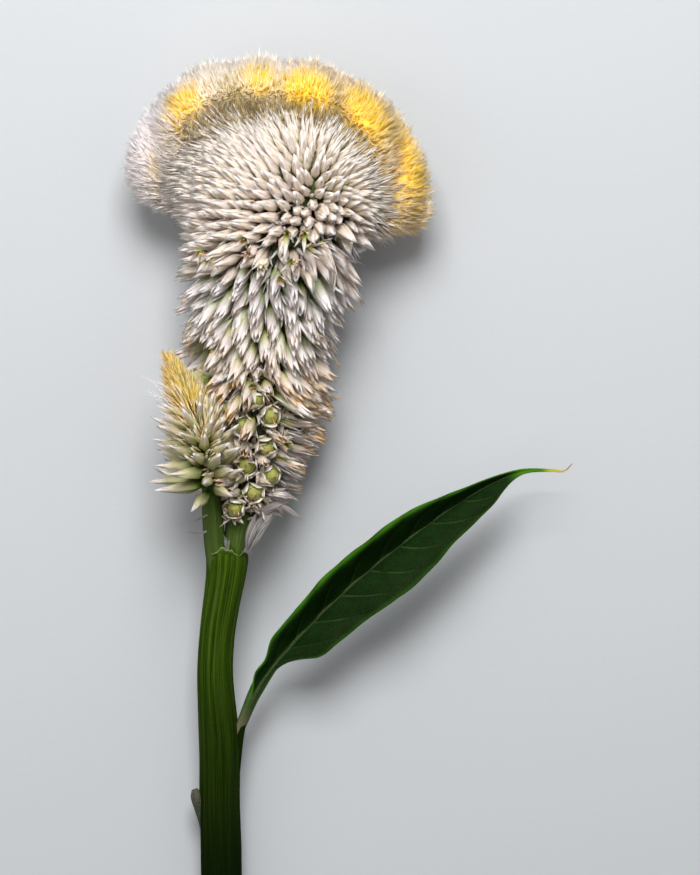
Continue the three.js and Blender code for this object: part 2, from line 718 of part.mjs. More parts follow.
/** Thin closed blade: top and underside are split into triangles the same way. */
function leafSolid() {
  const along = 28;
  const across = 6;
  const sheets = [LEAF_THICKNESS / 2, -LEAF_THICKNESS / 2].map((offset) => (
    Array.from({ length: along + 1 }, (_, row) => {
      const share = row / along;
      const taper = THREE.MathUtils.lerp(1, 0.8, THREE.MathUtils.smoothstep(share, 0.85, 1));
      return Array.from({ length: across + 1 }, (_, i) => {
        const position = 2 * i / across - 1;
        const ribbed = (1 - Math.abs(position)) * (1 - THREE.MathUtils.smoothstep(share, 0.1, 0.3));
        const point = bladePoint(share, position);
        point.z += offset * taper * (1 + MIDRIB_SWELL * ribbed);
        return point;
      });
    })
  ));
  const rowLength = across + 1;
  const sheetSize = rowLength * (along + 1);
  const index = [];
  const quad = (a, b, c, d) => index.push(a, b, c, a, c, d);
  for (let row = 0; row < along; row += 1) {
    for (let i = 0; i < across; i += 1) {
      const a = row * rowLength + i;
      const [b, c, d] = [a + 1, a + rowLength + 1, a + rowLength];
      index.push(a, c, b, a, d, c);
      quad(...[a, b, c, d].map((corner) => corner + sheetSize));
    }
    const low = row * rowLength;
    const high = low + across;
    quad(low, low + sheetSize, low + rowLength + sheetSize, low + rowLength);
    quad(high, high + rowLength, high + rowLength + sheetSize, high + sheetSize);
  }
  const tip = along * rowLength;
  for (let i = 0; i < across; i += 1) {
    quad(i, i + 1, i + 1 + sheetSize, i + sheetSize);
    quad(tip + i, tip + i + sheetSize, tip + i + 1 + sheetSize, tip + i + 1);
  }
  const geometry = new THREE.BufferGeometry();
  const positions = sheets.flat(2).flatMap((p) => [p.x, p.y, p.z]);
  geometry.setAttribute('position', new THREE.Float32BufferAttribute(positions, 3));
  geometry.setIndex(index);
  return solid(geometry).subtract(stemClearance());
}

// ---------------------------------------------------------------- the flower

const finishes = {
  stem: new THREE.MeshStandardMaterial({ color: 0x4c6b1f, roughness: 0.55, metalness: 0 }),
  leaf: new THREE.MeshStandardMaterial({ color: 0x1f4a12, roughness: 0.5, metalness: 0 }),
  florets: new THREE.MeshStandardMaterial({ color: 0xe9dfd6, roughness: 0.6, metalness: 0 }),
  crest: new THREE.MeshStandardMaterial({ color: 0xeccb5c, roughness: 0.7, metalness: 0 }),
  capsule: new THREE.MeshStandardMaterial({ color: 0x8c9a3a, roughness: 0.45, metalness: 0 }),
};

function mesh(name, manifold, finish) {
  const made = new THREE.Mesh(geometryOf(mainBody(manifold)), finish);
  made.name = name;
  return made;
}

const spikeBody = join([
  spikeCore(0, SPIKE_TIP_START - 0.012, 8),
  ...spikeFlorets(SPIKE_FLORETS_START, SPIKE_TIP_START - 0.05, 54, PLUMP_FLORET, 31),
]);
const spikeTip = join([
  spikeCore(SPIKE_TIP_START, 1, 5),
  ...spikeFlorets(SPIKE_TIP_START + 0.04, 0.985, 30, HAIR_TUFT, 37),
]);
const tipStart = spikeAxis.getPointAt(SPIKE_TIP_START);
const tipAlong = spikeAxis.getTangentAt(SPIKE_TIP_START);

/** Both sides of the plane across the spike where its yellow tip begins, the seat gap apart. */
function beyondTipStart(sign) {
  const reach = 30;
  const block = new THREE.BoxGeometry(2 * reach, 2 * reach, 2 * reach).translate(0, reach, 0);
  const turn = new THREE.Quaternion().setFromUnitVectors(UP, tipAlong.clone().multiplyScalar(sign));
  const start = tipStart.clone().addScaledVector(tipAlong, sign * SEAT_GAP / 2);
  return solid(block.applyMatrix4(new THREE.Matrix4().compose(start, turn, new THREE.Vector3(1, 1, 1))));
}

const spikeSeat = join([underFork, capsulePockets]);

const flower = new THREE.Group();
flower.add(
  mesh('stem', stemSolid(), finishes.stem),
  mesh('leaf', leafSolid(), finishes.leaf),
  mesh('comb_florets', combFlorets(), finishes.florets),
  mesh('comb_crest', combCrest(), finishes.crest),
  mesh('side_spike', spikeBody.intersect(beyondTipStart(-1)).subtract(spikeSeat), finishes.florets),
  mesh('side_spike_tip', spikeTip.intersect(beyondTipStart(1)), finishes.crest),
);
ripeFrames.forEach((frame, i) => {
  const name = `seed_capsule_${String(i + 1).padStart(2, '0')}`;
  flower.add(mesh(name, capsuleSolid(frame), finishes.capsule));
});

const footprint = new THREE.Box3().setFromObject(flower);
const middle = footprint.getCenter(new THREE.Vector3());
flower.position.set(-middle.x, -middle.y, -footprint.min.z);

export default flower;
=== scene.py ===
"""A cut cockscomb celosia lying on its back: the finished flower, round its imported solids.

Shapes are worked out in millimetres from the middle of the stem's cut end: x towards the leaf, y along the
stem to the crest and z up off the table. in_frame moves them into the frame's metres.
"""

import bpy
import numpy as np
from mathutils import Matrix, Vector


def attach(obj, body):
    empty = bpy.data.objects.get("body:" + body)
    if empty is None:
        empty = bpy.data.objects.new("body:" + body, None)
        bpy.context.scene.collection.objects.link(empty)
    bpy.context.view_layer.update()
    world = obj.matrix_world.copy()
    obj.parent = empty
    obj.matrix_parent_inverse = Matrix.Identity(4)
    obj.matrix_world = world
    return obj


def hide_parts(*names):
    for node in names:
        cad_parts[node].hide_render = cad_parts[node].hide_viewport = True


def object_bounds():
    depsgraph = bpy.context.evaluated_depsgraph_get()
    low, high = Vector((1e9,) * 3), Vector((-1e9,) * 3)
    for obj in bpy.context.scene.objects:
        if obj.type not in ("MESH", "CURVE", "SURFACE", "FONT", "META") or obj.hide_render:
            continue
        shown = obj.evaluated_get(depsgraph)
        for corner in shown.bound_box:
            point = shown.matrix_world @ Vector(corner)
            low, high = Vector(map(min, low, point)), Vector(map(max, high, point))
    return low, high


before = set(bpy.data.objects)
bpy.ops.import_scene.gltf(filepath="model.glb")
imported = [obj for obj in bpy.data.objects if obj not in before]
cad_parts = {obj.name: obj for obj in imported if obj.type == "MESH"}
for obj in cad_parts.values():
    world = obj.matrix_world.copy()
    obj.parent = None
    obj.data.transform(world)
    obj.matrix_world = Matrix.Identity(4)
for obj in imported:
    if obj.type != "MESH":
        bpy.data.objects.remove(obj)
cad_low, cad_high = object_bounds()


# ---------------------------------------------------------------- table, light and camera
# The flower lies on a plain pale matt table. A large soft box hangs beyond the crest, two wide weak ones fill
# in from the sides, a low one catches the crest's hairs, and the camera hangs straight above with a long
# lens.

MM = 0.001
CREST_REACH_LEFT = 16.584  # from the stem's cut end to the crest's left edge, across the stem
CUT_END = np.array([cad_low.x / MM + CREST_REACH_LEFT, cad_low.y / MM, 0.0])
VIEW_CENTRE = (21.7, 82.9, 14.0)
VIEW_HEIGHT = 145.8
LENS, SENSOR = 180, 36
TABLE_SIZE = 3.0
TABLE_COLOUR = (0.47, 0.485, 0.50, 1)
CLIP_NEAR, CLIP_FAR = 0.01, 10
SOFT_BOXES = [  # name, place, side, power in watts
    ("key_light", (5, 350, 400), 0.24, 2.95),
    ("fill_light", (-240, 40, 270), 0.40, 0.50),
    ("side_light", (270, 70, 210), 0.40, 0.26),
    ("rim_light", (10, 420, 100), 0.30, 0.27),
]
ROOM_LIGHT = (0.86, 0.87, 0.90, 1)
ROOM_STRENGTH = 0.10


def in_frame(points):
    """Millimetres from the stem's cut end, moved and scaled into the frame's metres."""
    return (np.asarray(points, float) + CUT_END) * MM


def add(tree, kind, inputs=(), **settings):
    """A shader node of a kind, its settings given by name and its inputs as pairs of name and link or
    value."""
    made = tree.nodes.new(kind)
    for name, value in settings.items():
        setattr(made, name, value)
    for name, value in dict(inputs).items():
        if isinstance(value, bpy.types.NodeSocket):
            tree.links.new(value, made.inputs[name])
        else:
            made.inputs[name].default_value = value
    return made


def matter(name, roughness, **settings):
    """A new material: its node tree and its Principled shader, with the shader's own numbers set."""
    made = bpy.data.materials.new(name)
    made.use_nodes = True
    shader = made.node_tree.nodes["Principled BSDF"]
    shader.inputs["Roughness"].default_value = roughness
    for key, value in settings.items():
        shader.inputs[key.replace("_", " ").title().replace("Ior", "IOR")].default_value = value
    return made, made.node_tree, shader


def aim(thing, target):
    """Turns a lamp or camera, which looks along its own -z, to look at a point."""
    thing.rotation_euler = (thing.location - target).to_track_quat("Z", "Y").to_euler()


table_mesh = bpy.data.meshes.new("table")
corners = np.array([(-1, -1, 0), (1, -1, 0), (1, 1, 0), (-1, 1, 0)]) * TABLE_SIZE / 2
table_mesh.from_pydata(corners, [], [(0, 1, 2, 3)])
table = bpy.data.objects.new("table", table_mesh)
bpy.context.collection.objects.link(table)
table_paint, tree, shader = matter("table_paint", 0.85, base_color=TABLE_COLOUR)
space = add(tree, "ShaderNodeTexCoord").outputs["Object"]
grain = add(tree, "ShaderNodeTexNoise", {"Vector": space, "Scale": 900, "Detail": 3}).outputs["Fac"]
bump = add(tree, "ShaderNodeBump", {"Height": grain, "Strength": 0.15, "Distance": 0.0002})
tree.links.new(bump.outputs[0], shader.inputs["Normal"])
table_mesh.materials.append(table_paint)

target = type(cad_low)(in_frame(VIEW_CENTRE))
for name, place, side, power in SOFT_BOXES:
    lamp = bpy.data.lights.new(name, "AREA")
    lamp.size, lamp.energy = side, power
    stand = bpy.data.objects.new(name, lamp)
    stand.location = in_frame(place)
    aim(stand, target)
    bpy.context.collection.objects.link(stand)
world = bpy.data.worlds.new("room")
world.use_nodes = True
room = world.node_tree.nodes["Background"].inputs
room["Color"].default_value = ROOM_LIGHT
room["Strength"].default_value = ROOM_STRENGTH
bpy.context.scene.world = world
bpy.context.scene.view_settings.view_transform = "Standard"

camera_data = bpy.data.cameras.new("camera")
camera_data.lens, camera_data.sensor_width = LENS, SENSOR
camera_data.clip_start, camera_data.clip_end = CLIP_NEAR, CLIP_FAR
camera = bpy.data.objects.new("camera", camera_data)
camera.location = in_frame(VIEW_CENTRE)
camera.location.z += VIEW_HEIGHT * MM * LENS / SENSOR
bpy.context.collection.objects.link(camera)
bpy.context.scene.camera = camera


# ---------------------------------------------------------------- stem
# A solid, juicy stalk of green tissue with a dozen low ribs, pale along their backs and dark in the furrows,
# cut straight at its foot, where the ring of vessels shows round the pale pith.

TURN = 2 * np.pi
STEM_LENGTH = 66.0
SHOULDER, SHOULDER_LENGTH = 0.35, 4   # how much the stem narrows over its last millimetres
RIBS, RIB_DEPTH = 13, 0.09
STEM = [  # y, centre x, centre z, half width, half depth
    (0, 0.2, 3.36, 3.35, 3.35), (22, -0.3, 4.9, 3.45, 3.3), (32, -0.35, 6.2, 3.35, 3.2),
    (42, -0.95, 7.6, 3.0, 3.0), (50, -0.6, 8.9, 3.0, 2.95), (60, 0.95, 10.6, 3.35, 3.0),
    (STEM_LENGTH, 1.2, 11.4, 3.75, 3.1),
]
STEM_RIDGE_GREEN = (0.043, 0.092, 0.002, 1)
STEM_FURROW_GREEN = (0.007, 0.022, 0.001, 1)
# painted shade: the colour the skin darkens to towards the cut end, where the light falls off
STEM_FOOT_PAINTED_SHADE = (0.0015, 0.005, 0.0002, 1)
STEM_BLOTCH_GREEN = (0.042, 0.078, 0.003, 1)
STEM_LINE_GREEN = (0.11, 0.16, 0.03, 1)
PITH = (0.42, 0.50, 0.24, 1)
VESSELS = (0.16, 0.26, 0.05, 1)
BUMP_STRENGTH = 0.6


def along_rows(rows, at):
    """Smooth curve through rows of (position, value, ...): between two rows a value eases from one to the
    other, t * t * (3 - 2 * t), and its slope at each row is that of the line between the rows on either
    side."""
    rows, at = np.asarray(rows, float), np.asarray(at, float)
    at = np.clip(at, rows[0, 0], rows[-1, 0])
    index = np.arange(len(rows))
    before, after = rows[np.maximum(index - 1, 0)], rows[np.minimum(index + 1, len(rows) - 1)]
    slope = (after[:, 1:] - before[:, 1:]) / (after[:, :1] - before[:, :1])
    i = np.clip(np.searchsorted(rows[:, 0], at, side="right") - 1, 0, len(rows) - 2)
    start, end = rows[i], rows[i + 1]
    span = end[..., :1] - start[..., :1]
    t = (at[..., None] - start[..., :1]) / span
    eased = start[..., 1:] + (end[..., 1:] - start[..., 1:]) * t * t * (3 - 2 * t)
    value = eased + slope[i] * span * t * (1 - t) ** 2 - slope[i + 1] * span * t * t * (1 - t)
    return np.moveaxis(value, -1, 0)


def smoothstep(low, high, value):
    """0 below low, 1 above high, and an S curve between."""
    t = np.clip((np.asarray(value, float) - low) / (high - low), 0, 1)
    return t * t * (3 - 2 * t)


def unit(vectors):
    """Vectors scaled to length 1."""
    return vectors / np.maximum(np.linalg.norm(vectors, axis=-1, keepdims=True), 1e-9)


def once_round(count):
    """So many angles, evenly spaced over one turn."""
    return np.linspace(0, TURN, count, endpoint=False)[None, :]


def closed_tube(rings):
    """A grid of points [row, place round the row, xyz] as a closed skin: quads between rows, and a fan from
    the middle of the first and of the last row. Returns points, and faces by corner count, pointing
    outwards."""
    rows, around = rings.shape[:2]
    middles = np.array([rings[0].mean(0), rings[-1].mean(0)])
    points = np.concatenate([rings.reshape(-1, 3), middles])
    i = np.arange(around)
    follows = (i + 1) % around
    first = np.arange(rows - 1)[:, None] * around
    corners = [first + i, first + follows, first + follows + around, first + i + around]
    quads = np.stack(corners, -1).reshape(-1, 4)
    last = (rows - 1) * around
    fans = np.concatenate([
        np.stack([follows, i, np.full(around, rows * around)], -1),
        np.stack([last + i, last + follows, np.full(around, rows * around + 1)], -1),
    ])
    a, b, c = (points[quads[:, k]] for k in range(3))
    if np.einsum("ij,ij->", np.cross(b - a, c - a), a - points.mean(0)) < 0:
        quads, fans = quads[:, ::-1], fans[:, ::-1]
    return points, [quads, fans]


def tube_values(per_ring, rows, around):
    """A value for each point of a closed tube, from one for each row or each point of the rings."""
    full = np.broadcast_to(per_ring, (rows, around))
    return np.concatenate([full.ravel(), [full[0].mean(), full[-1].mean()]])


def make_piece(name, points, faces, material, values=None, map_uv=None, sharp=None, nodes=()):
    """A mesh piece from points, in millimetres, and faces by corner count. values are numbers for each point
    by name, map_uv is each point's place on the map, and edges between two points with the same sharp number
    stay crisp."""
    mesh = bpy.data.meshes.new(name)
    mesh.vertices.add(len(points))
    mesh.vertices.foreach_set("co", in_frame(points).astype(np.float32).ravel())
    corners = np.concatenate([group.ravel() for group in faces]).astype(np.int32)
    sizes = np.concatenate([np.full(len(group), group.shape[1]) for group in faces])
    mesh.loops.add(len(corners))
    mesh.loops.foreach_set("vertex_index", corners)
    mesh.polygons.add(len(sizes))
    mesh.polygons.foreach_set("loop_start", np.concatenate([[0], np.cumsum(sizes)[:-1]]).astype(np.int32))
    mesh.update(calc_edges=True)
    mesh.validate()
    mesh.polygons.foreach_set("use_smooth", np.ones(len(mesh.polygons), bool))
    for key, numbers in (values or {}).items():
        made = mesh.attributes.new(key, "FLOAT", "POINT")
        made.data.foreach_set("value", np.asarray(numbers, np.float32).ravel())
    if map_uv is not None:
        used = np.empty(len(mesh.loops), np.int32)
        mesh.loops.foreach_get("vertex_index", used)
        mesh.uv_layers.new(name="lengthwise").data.foreach_set("uv", map_uv[used].astype(np.float32).ravel())
    if sharp is not None:
        ends = np.empty(2 * len(mesh.edges), np.int32)
        mesh.edges.foreach_get("vertices", ends)
        kind = sharp[ends.reshape(-1, 2)]
        crisp = mesh.attributes.new("sharp_edge", "BOOLEAN", "EDGE")
        crisp.data.foreach_set("value", (kind[:, 0] > 0) & (kind[:, 0] == kind[:, 1]))
    mesh.materials.append(material)
    made = bpy.data.objects.new(name, mesh)
    bpy.context.collection.objects.link(made)
    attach(made, "root")
    if nodes:
        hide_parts(*nodes)
    return made


def tube_piece(name, rings, material, values, map_across=None, map_along=None, nodes=()):
    """A closed tube as a piece. Its values, and the two numbers of its map, are given for each row or for
    each point of the rings."""
    size = rings.shape[:2]
    points, faces = closed_tube(rings)
    map_uv = None
    if map_across is not None:
        map_uv = np.stack([tube_values(map_across, *size), tube_values(map_along, *size)], -1)
    values = {key: tube_values(value, *size) for key, value in values.items()}
    make_piece(name, points, faces, material, values, map_uv, nodes=nodes)


def number(tree, name):
    """The number that a piece holds for each point under a name."""
    return add(tree, "ShaderNodeAttribute", attribute_name=name).outputs["Fac"]


def maths(tree, operation, *values):
    """The result of one arithmetic step on links or numbers."""
    return add(tree, "ShaderNodeMath", enumerate(values), operation=operation).outputs[0]


def times(tree, first, second):
    """Two links or numbers multiplied."""
    return maths(tree, "MULTIPLY", first, second)


def rest_of(tree, share):
    """What a share leaves of 1."""
    return maths(tree, "SUBTRACT", 1, share)


def eased(tree, value, low, high):
    """smoothstep as a shader node."""
    inputs = {"Value": value, "From Min": low, "From Max": high}
    return add(tree, "ShaderNodeMapRange", inputs, interpolation_type="SMOOTHSTEP").outputs["Result"]


def mixed(tree, share, first, second):
    """Two colours mixed by a share from 0, all first, to 1, all second."""
    return add(tree, "ShaderNodeMix", {0: share, 6: first, 7: second}, data_type="RGBA").outputs[2]


def shader_group(name, inputs, output):
    """An empty node group with named number or vector inputs and one number out."""
    made = bpy.data.node_groups.new(name, "ShaderNodeTree")
    for key, kind in inputs.items():
        made.interface.new_socket(key, in_out="INPUT", socket_type=kind)
    made.interface.new_socket(output, in_out="OUTPUT", socket_type="NodeSocketFloat")
    return made, made.nodes.new("NodeGroupInput").outputs, made.nodes.new("NodeGroupOutput").inputs[output]


# Fibres: noise on the piece's map, many times finer across the map than along it.
fibres, given, out = shader_group(
    "fibres", {"Map": "NodeSocketVector", "Across": "NodeSocketFloat", "Along": "NodeSocketFloat"}, "Streak")
parts = add(fibres, "ShaderNodeSeparateXYZ", {0: given["Map"]}).outputs
stretch = {0: times(fibres, parts[0], given["Across"]), 1: times(fibres, parts[1], given["Along"])}
stretched = add(fibres, "ShaderNodeCombineXYZ", stretch).outputs[0]
streaky = add(fibres, "ShaderNodeTexNoise", {"Vector": stretched, "Scale": 1, "Detail": 3}).outputs["Fac"]
fibres.links.new(eased(fibres, streaky, 0.34, 0.66), out)

# Mottle: soft blotches of living tissue, in the piece's own space.
mottle, given, out = shader_group("mottle", {"Size": "NodeSocketFloat"}, "Blotch")
space = add(mottle, "ShaderNodeTexCoord").outputs["Object"]
fine = maths(mottle, "DIVIDE", 1, given["Size"])
cloud = add(mottle, "ShaderNodeTexNoise", {"Vector": space, "Scale": fine, "Detail": 4, "Roughness": 0.6})
mottle.links.new(eased(mottle, cloud.outputs["Fac"], 0.3, 0.7), out)


def streak_of(tree, across, along):
    """The fibres group, read on the piece's map."""
    place = add(tree, "ShaderNodeUVMap", uv_map="lengthwise").outputs[0]
    inputs = {"Map": place, "Across": across, "Along": along}
    return add(tree, "ShaderNodeGroup", inputs, node_tree=fibres).outputs[0]


def blotch_of(tree, size_mm):
    """The mottle group with blotches of a size."""
    return add(tree, "ShaderNodeGroup", {"Size": size_mm * MM}, node_tree=mottle).outputs[0]


def finish_with(tree, shader, colour, height=None, depth=0.0):
    """Links the colour and, from a height, a bump that is so many metres deep."""
    tree.links.new(colour, shader.inputs["Base Color"])
    if height is not None:
        bump = add(tree, "ShaderNodeBump", {"Height": height, "Strength": BUMP_STRENGTH, "Distance": depth})
        tree.links.new(bump.outputs[0], shader.inputs["Normal"])


def shoulder(y):
    """The share of its width that the stem keeps, which eases off over its last millimetres."""
    return 1 - SHOULDER * smoothstep(STEM_LENGTH - SHOULDER_LENGTH, STEM_LENGTH, y) ** 1.5


def stem_rings():
    """Rings round the stem: half width and depth at y, times one plus the ribs, which are a cosine of the
    angle with uneven steps. At both ends the rings shrink to close the stem."""
    body = np.linspace(0, STEM_LENGTH, 150)
    y = np.concatenate([np.zeros(9), body, np.full(3, STEM_LENGTH) + (0.3, 0.5, 0.6)])
    shrink = np.concatenate([np.linspace(0.08, 0.96, 9), shoulder(body), (0.5, 0.3, 0.1)])[:, None]
    angle = once_round(12 * RIBS)
    x, z, width, depth = (value[:, None] for value in along_rows(STEM, y))
    on_cut = (np.arange(len(y)) < 9).astype(float)[:, None]
    y = y[:, None]
    uneven = angle + 0.10 * np.sin(2 * angle + 1 + 0.012 * y) + 0.05 * np.sin(5 * angle - 0.03 * y)
    rib = np.cos(RIBS * uneven)
    rib = rib - 0.35 * (1 - rib * rib)
    lumps = 0.05 * np.sin(0.21 * y + 2 * angle) + 0.03 * np.sin(0.53 * y - angle)
    swell = (RIB_DEPTH * rib - 0.5 * RIB_DEPTH + lumps) * smoothstep(0.2, 0.9, shrink)
    dished = 0.25 * (1 - shrink**2) * (y < 0.01)
    rings = np.stack(np.broadcast_arrays(
        x + (width + swell) * shrink * np.cos(angle),
        y + dished,
        np.maximum(z + (depth + swell) * shrink * np.sin(angle), 0.0),
    ), -1)
    return rings, {"rib": rib, "cut": on_cut, "rim": shrink, "rise": y / STEM_LENGTH}, angle


def stem_tissue():
    """Waxy green skin: furrows darker than ridges, long fibres, a foot in painted shade, pale pith on the cut.
    """
    made, tree, shader = matter("stem_tissue", 0.6, specular_ior_level=0.02)
    streak = streak_of(tree, 120, 5)
    line = streak_of(tree, 210, 2)
    ridge = maths(tree, "MULTIPLY_ADD", number(tree, "rib"), 0.3, times(tree, streak, 1.2))
    skin = mixed(tree, eased(tree, ridge, -0.4, 1.6), STEM_FURROW_GREEN, STEM_RIDGE_GREEN)
    skin = mixed(tree, times(tree, blotch_of(tree, 1.6), 0.2), skin, STEM_BLOTCH_GREEN)
    skin = mixed(tree, times(tree, eased(tree, line, 0.66, 0.95), 0.4), skin, STEM_LINE_GREEN)
    # painted shade: the skin darkens towards the cut end, as the light falls off there
    foot = rest_of(tree, eased(tree, number(tree, "rise"), 0.08, 1.0))
    skin = mixed(tree, times(tree, foot, 0.96), skin, STEM_FOOT_PAINTED_SHADE)
    rim = number(tree, "rim")
    ring = times(tree, eased(tree, rim, 0.62, 0.74), rest_of(tree, eased(tree, rim, 0.8, 0.92)))
    face = mixed(tree, times(tree, ring, blotch_of(tree, 0.5)), PITH, VESSELS)
    face = mixed(tree, eased(tree, rim, 0.88, 0.97), face, STEM_RIDGE_GREEN)
    colour = mixed(tree, number(tree, "cut"), skin, face)
    finish_with(tree, shader, colour, maths(tree, "ADD", streak, blotch_of(tree, 0.35)), 0.00006)
    return made


rings, values, angle = stem_rings()
stem_skin = stem_tissue()
tube_piece("stem_stalk", rings, stem_skin, values, angle / TURN, values["rise"], ["stem"])


# ---------------------------------------------------------------- leaf scar and petiole ridge
# Low on the left a lost leaf has left a corky stub, whose base runs down into the stem as a ridge. On the
# right the standing leaf's stalk does the same.

CORK = (0.020, 0.020, 0.010, 1)
CORK_PALE = (0.09, 0.085, 0.055, 1)
SCAR_GREEN = (0.030, 0.055, 0.010, 1)
SCAR_PATH = [(-2.0, 13.0, 4.4), (-3.0, 18.0, 4.8), (-3.9, 21.6, 5.2), (-4.5, 23.6, 5.4)]
SCAR_GIRTH = [(0, 0.3), (0.35, 0.8), (0.7, 0.98), (0.9, 0.98), (1, 0.5)]
RIDGE_PATH = [(2.2, 18.5, 5.0), (2.4, 24.0, 5.5), (2.6, 29.0, 6.1), (3.1, 32.8, 6.8), (4.0, 35.6, 7.3)]
RIDGE_GIRTH = [(0, 0.1), (0.4, 0.62), (0.72, 0.85), (0.88, 0.75), (1, 0.3)]


def smooth_path(points, shares):
    """Points at shares of the length of a centripetal Catmull-Rom curve through given points, whose end
    pieces continue straight on."""
    p = np.asarray(points, float)
    p = np.concatenate([[2 * p[0] - p[1]], p, [2 * p[-1] - p[-2]]])
    step = np.maximum(np.linalg.norm(np.diff(p, axis=0), axis=1) ** 0.5, 1e-4)[:, None]
    a, b, c = step[:-2], step[1:-1], step[2:]
    leave = ((p[1:-2] - p[:-3]) / a - (p[2:-1] - p[:-3]) / (a + b) + (p[2:-1] - p[1:-2]) / b) * b
    reach = ((p[2:-1] - p[1:-2]) / b - (p[3:] - p[1:-2]) / (b + c) + (p[3:] - p[2:-1]) / c) * b
    t = np.linspace(0, 1, 60, endpoint=False)[None, :, None]
    start, end = p[1:-2, None], p[2:-1, None]
    curve = ((2 * t**3 - 3 * t**2 + 1) * start + (t**3 - 2 * t**2 + t) * leave[:, None]
             + (3 * t**2 - 2 * t**3) * end + (t**3 - t**2) * reach[:, None]).reshape(-1, 3)
    curve = np.concatenate([curve, p[-2:-1]])
    length = np.concatenate([[0], np.cumsum(np.linalg.norm(np.diff(curve, axis=0), axis=1))])
    wanted = np.asarray(shares, float) * length[-1]
    return np.stack([np.interp(wanted, length, curve[:, k]) for k in range(3)], -1)


def frames_along(path):
    """Direction along a path, and two directions across it: level, and square to both."""
    along = unit(np.gradient(path, axis=0))
    level = unit(np.cross(np.array([0.0, 0.0, 1.0]), along))
    return along, level, np.cross(along, level)


def tube_along(route, share, radius, angle):
    """Rings round a path at shares of its length, square to it, with a radius at each angle."""
    path = smooth_path(route, share[:, 0])
    _, level, upper = frames_along(path)
    aside = np.cos(angle)[..., None] * level[:, None] + np.sin(angle)[..., None] * upper[:, None]
    return path[:, None] + radius[..., None] * aside


def stub(name, route, girth, skin):
    """A tube whose girth follows rows of (share, radius), with a few low bumps round it."""
    share, angle = np.linspace(0, 1, 26)[:, None], once_round(20)
    radius = along_rows(girth, share)[0] * (1 + 0.06 * np.sin(3 * angle + 9 * share))
    values = {"rib": np.sin(4 * angle), "cut": 0, "rim": 1, "rise": 0.25, "cork": share}
    tube_piece(name, tube_along(route, share, radius, angle), skin, values, share, share)


def corky_tissue():
    """Green skin that turns to grey-brown cork with fine cracks at the broken end."""
    made, tree, shader = matter("corky_tissue", 0.62)
    cracks = blotch_of(tree, 0.25)
    # the scar's skin mixes the stem foot's painted shade with its own green
    green = mixed(tree, cracks, STEM_FOOT_PAINTED_SHADE, SCAR_GREEN)
    cork = mixed(tree, cracks, CORK, CORK_PALE)
    colour = mixed(tree, eased(tree, number(tree, "cork"), 0.55, 0.95), green, cork)
    finish_with(tree, shader, colour, cracks, 0.00012)
    return made


stub("leaf_scar", SCAR_PATH, SCAR_GIRTH, corky_tissue())
stub("petiole_ridge", RIDGE_PATH, RIDGE_GIRTH, stem_skin)


# ---------------------------------------------------------------- leaf
# One lance-shaped leaf on a short channelled stalk. The blade is folded along its midrib, its upper half
# steeply, and its margins roll and wave. Pale side veins arch towards the tip, which ends in a curled thread.

MIDRIB = [
    (1.6, 30.6, 6.3), (3.4, 34.6, 7.2), (5.6, 39.6, 8.1), (9.0, 45.0, 8.9), (18.9, 55.6, 10.0),
    (31.5, 66.1, 10.4), (43.3, 74.1, 10.0), (50.1, 77.1, 9.7), (55.2, 77.4, 9.6), (57.6, 77.3, 9.9),
    (58.9, 78.5, 10.4),
]
MIDRIB_START = 0.03
BLADE = [  # share of the midrib, upper half's reach and rise, lower half's reach and rise
    (0, 0.6, 0.2, 0.6, 0.2), (0.1, 0.62, 0.4, 0.62, 0.3), (0.145, 1.75, 1.4, 0.7, 0.4),
    (0.18, 1.7, 2.0, 0.9, 0.45), (0.22, 2.8, 3.4, 2.4, 1.0), (0.26, 3.1, 4.6, 4.9, 1.5),
    (0.3, 3.2, 5.2, 5.6, 1.9), (0.4, 3.9, 5.9, 6.2, 2.3), (0.52, 3.8, 6.2, 7.0, 2.6),
    (0.6, 3.7, 5.8, 6.4, 2.4), (0.67, 2.9, 4.8, 5.2, 2.0), (0.74, 1.8, 3.4, 4.3, 1.5),
    (0.8, 1.1, 2.1, 3.1, 1.0), (0.85, 0.6, 0.9, 1.3, 0.4), (0.89, 0.36, 0.2, 0.4, 0.2),
    (0.95, 0.2, 0.08, 0.2, 0.08), (1, 0.06, 0.02, 0.06, 0.02),
]
LEAF_THICKNESS = 0.34
MARGIN_WAVE = 0.5
MARGIN_ROLL = 1.1         # how far the upper margin rolls back down
VEIN_STEP = 0.085         # of the midrib from one side vein to the next
VEIN_LEAN, VEIN_ARCH = 0.085, 0.055
VEIN_OFFSET = 0.4         # of a step, from the upper half's veins to the lower half's
LEAF_DARK = (0.002, 0.009, 0.001, 1)
LEAF_GREEN = (0.005, 0.020, 0.002, 1)
LEAF_PAINTED_SHEEN_GREEN = (0.006, 0.015, 0.002, 1)
LEAF_BLOTCH_GREEN = (0.011, 0.040, 0.004, 1)
LEAF_PAINTED_GLINT = (0.035, 0.055, 0.022, 1)
# painted highlight: the bright green the margins are painted, as if lit; also the green where the blade narrows
# into its tail
LEAF_LIT_RIM_AND_TAIL_GREEN = (0.045, 0.165, 0.005, 1)
LEAF_UNDER_GREEN = (0.040, 0.085, 0.020, 1)
LEAF_UNDER_PALE = (0.055, 0.11, 0.03, 1)
LEAF_UNDER_VEIN = (0.12, 0.17, 0.07, 1)
VEIN_PALE = (0.040, 0.072, 0.018, 1)
MIDRIB_PALE = (0.080, 0.096, 0.045, 1)
STALK_PINK = (0.26, 0.19, 0.14, 1)
TAIL_YELLOW = (0.40, 0.38, 0.03, 1)
TAIL_BROWN = (0.40, 0.22, 0.14, 1)


def vein_distance(share, across):
    """How far a point is from the nearest side vein, in shares of the midrib: veins leave the midrib at even
    steps and lean towards the tip by VEIN_LEAN * k + VEIN_ARCH * k cubed, where k runs from midrib to
    margin."""
    k = np.abs(across)
    offset = np.where(across > 0, 0, VEIN_OFFSET)
    step = (share - VEIN_LEAN * k - VEIN_ARCH * k**3) / VEIN_STEP + offset
    return np.abs(step - np.round(step)) * VEIN_STEP


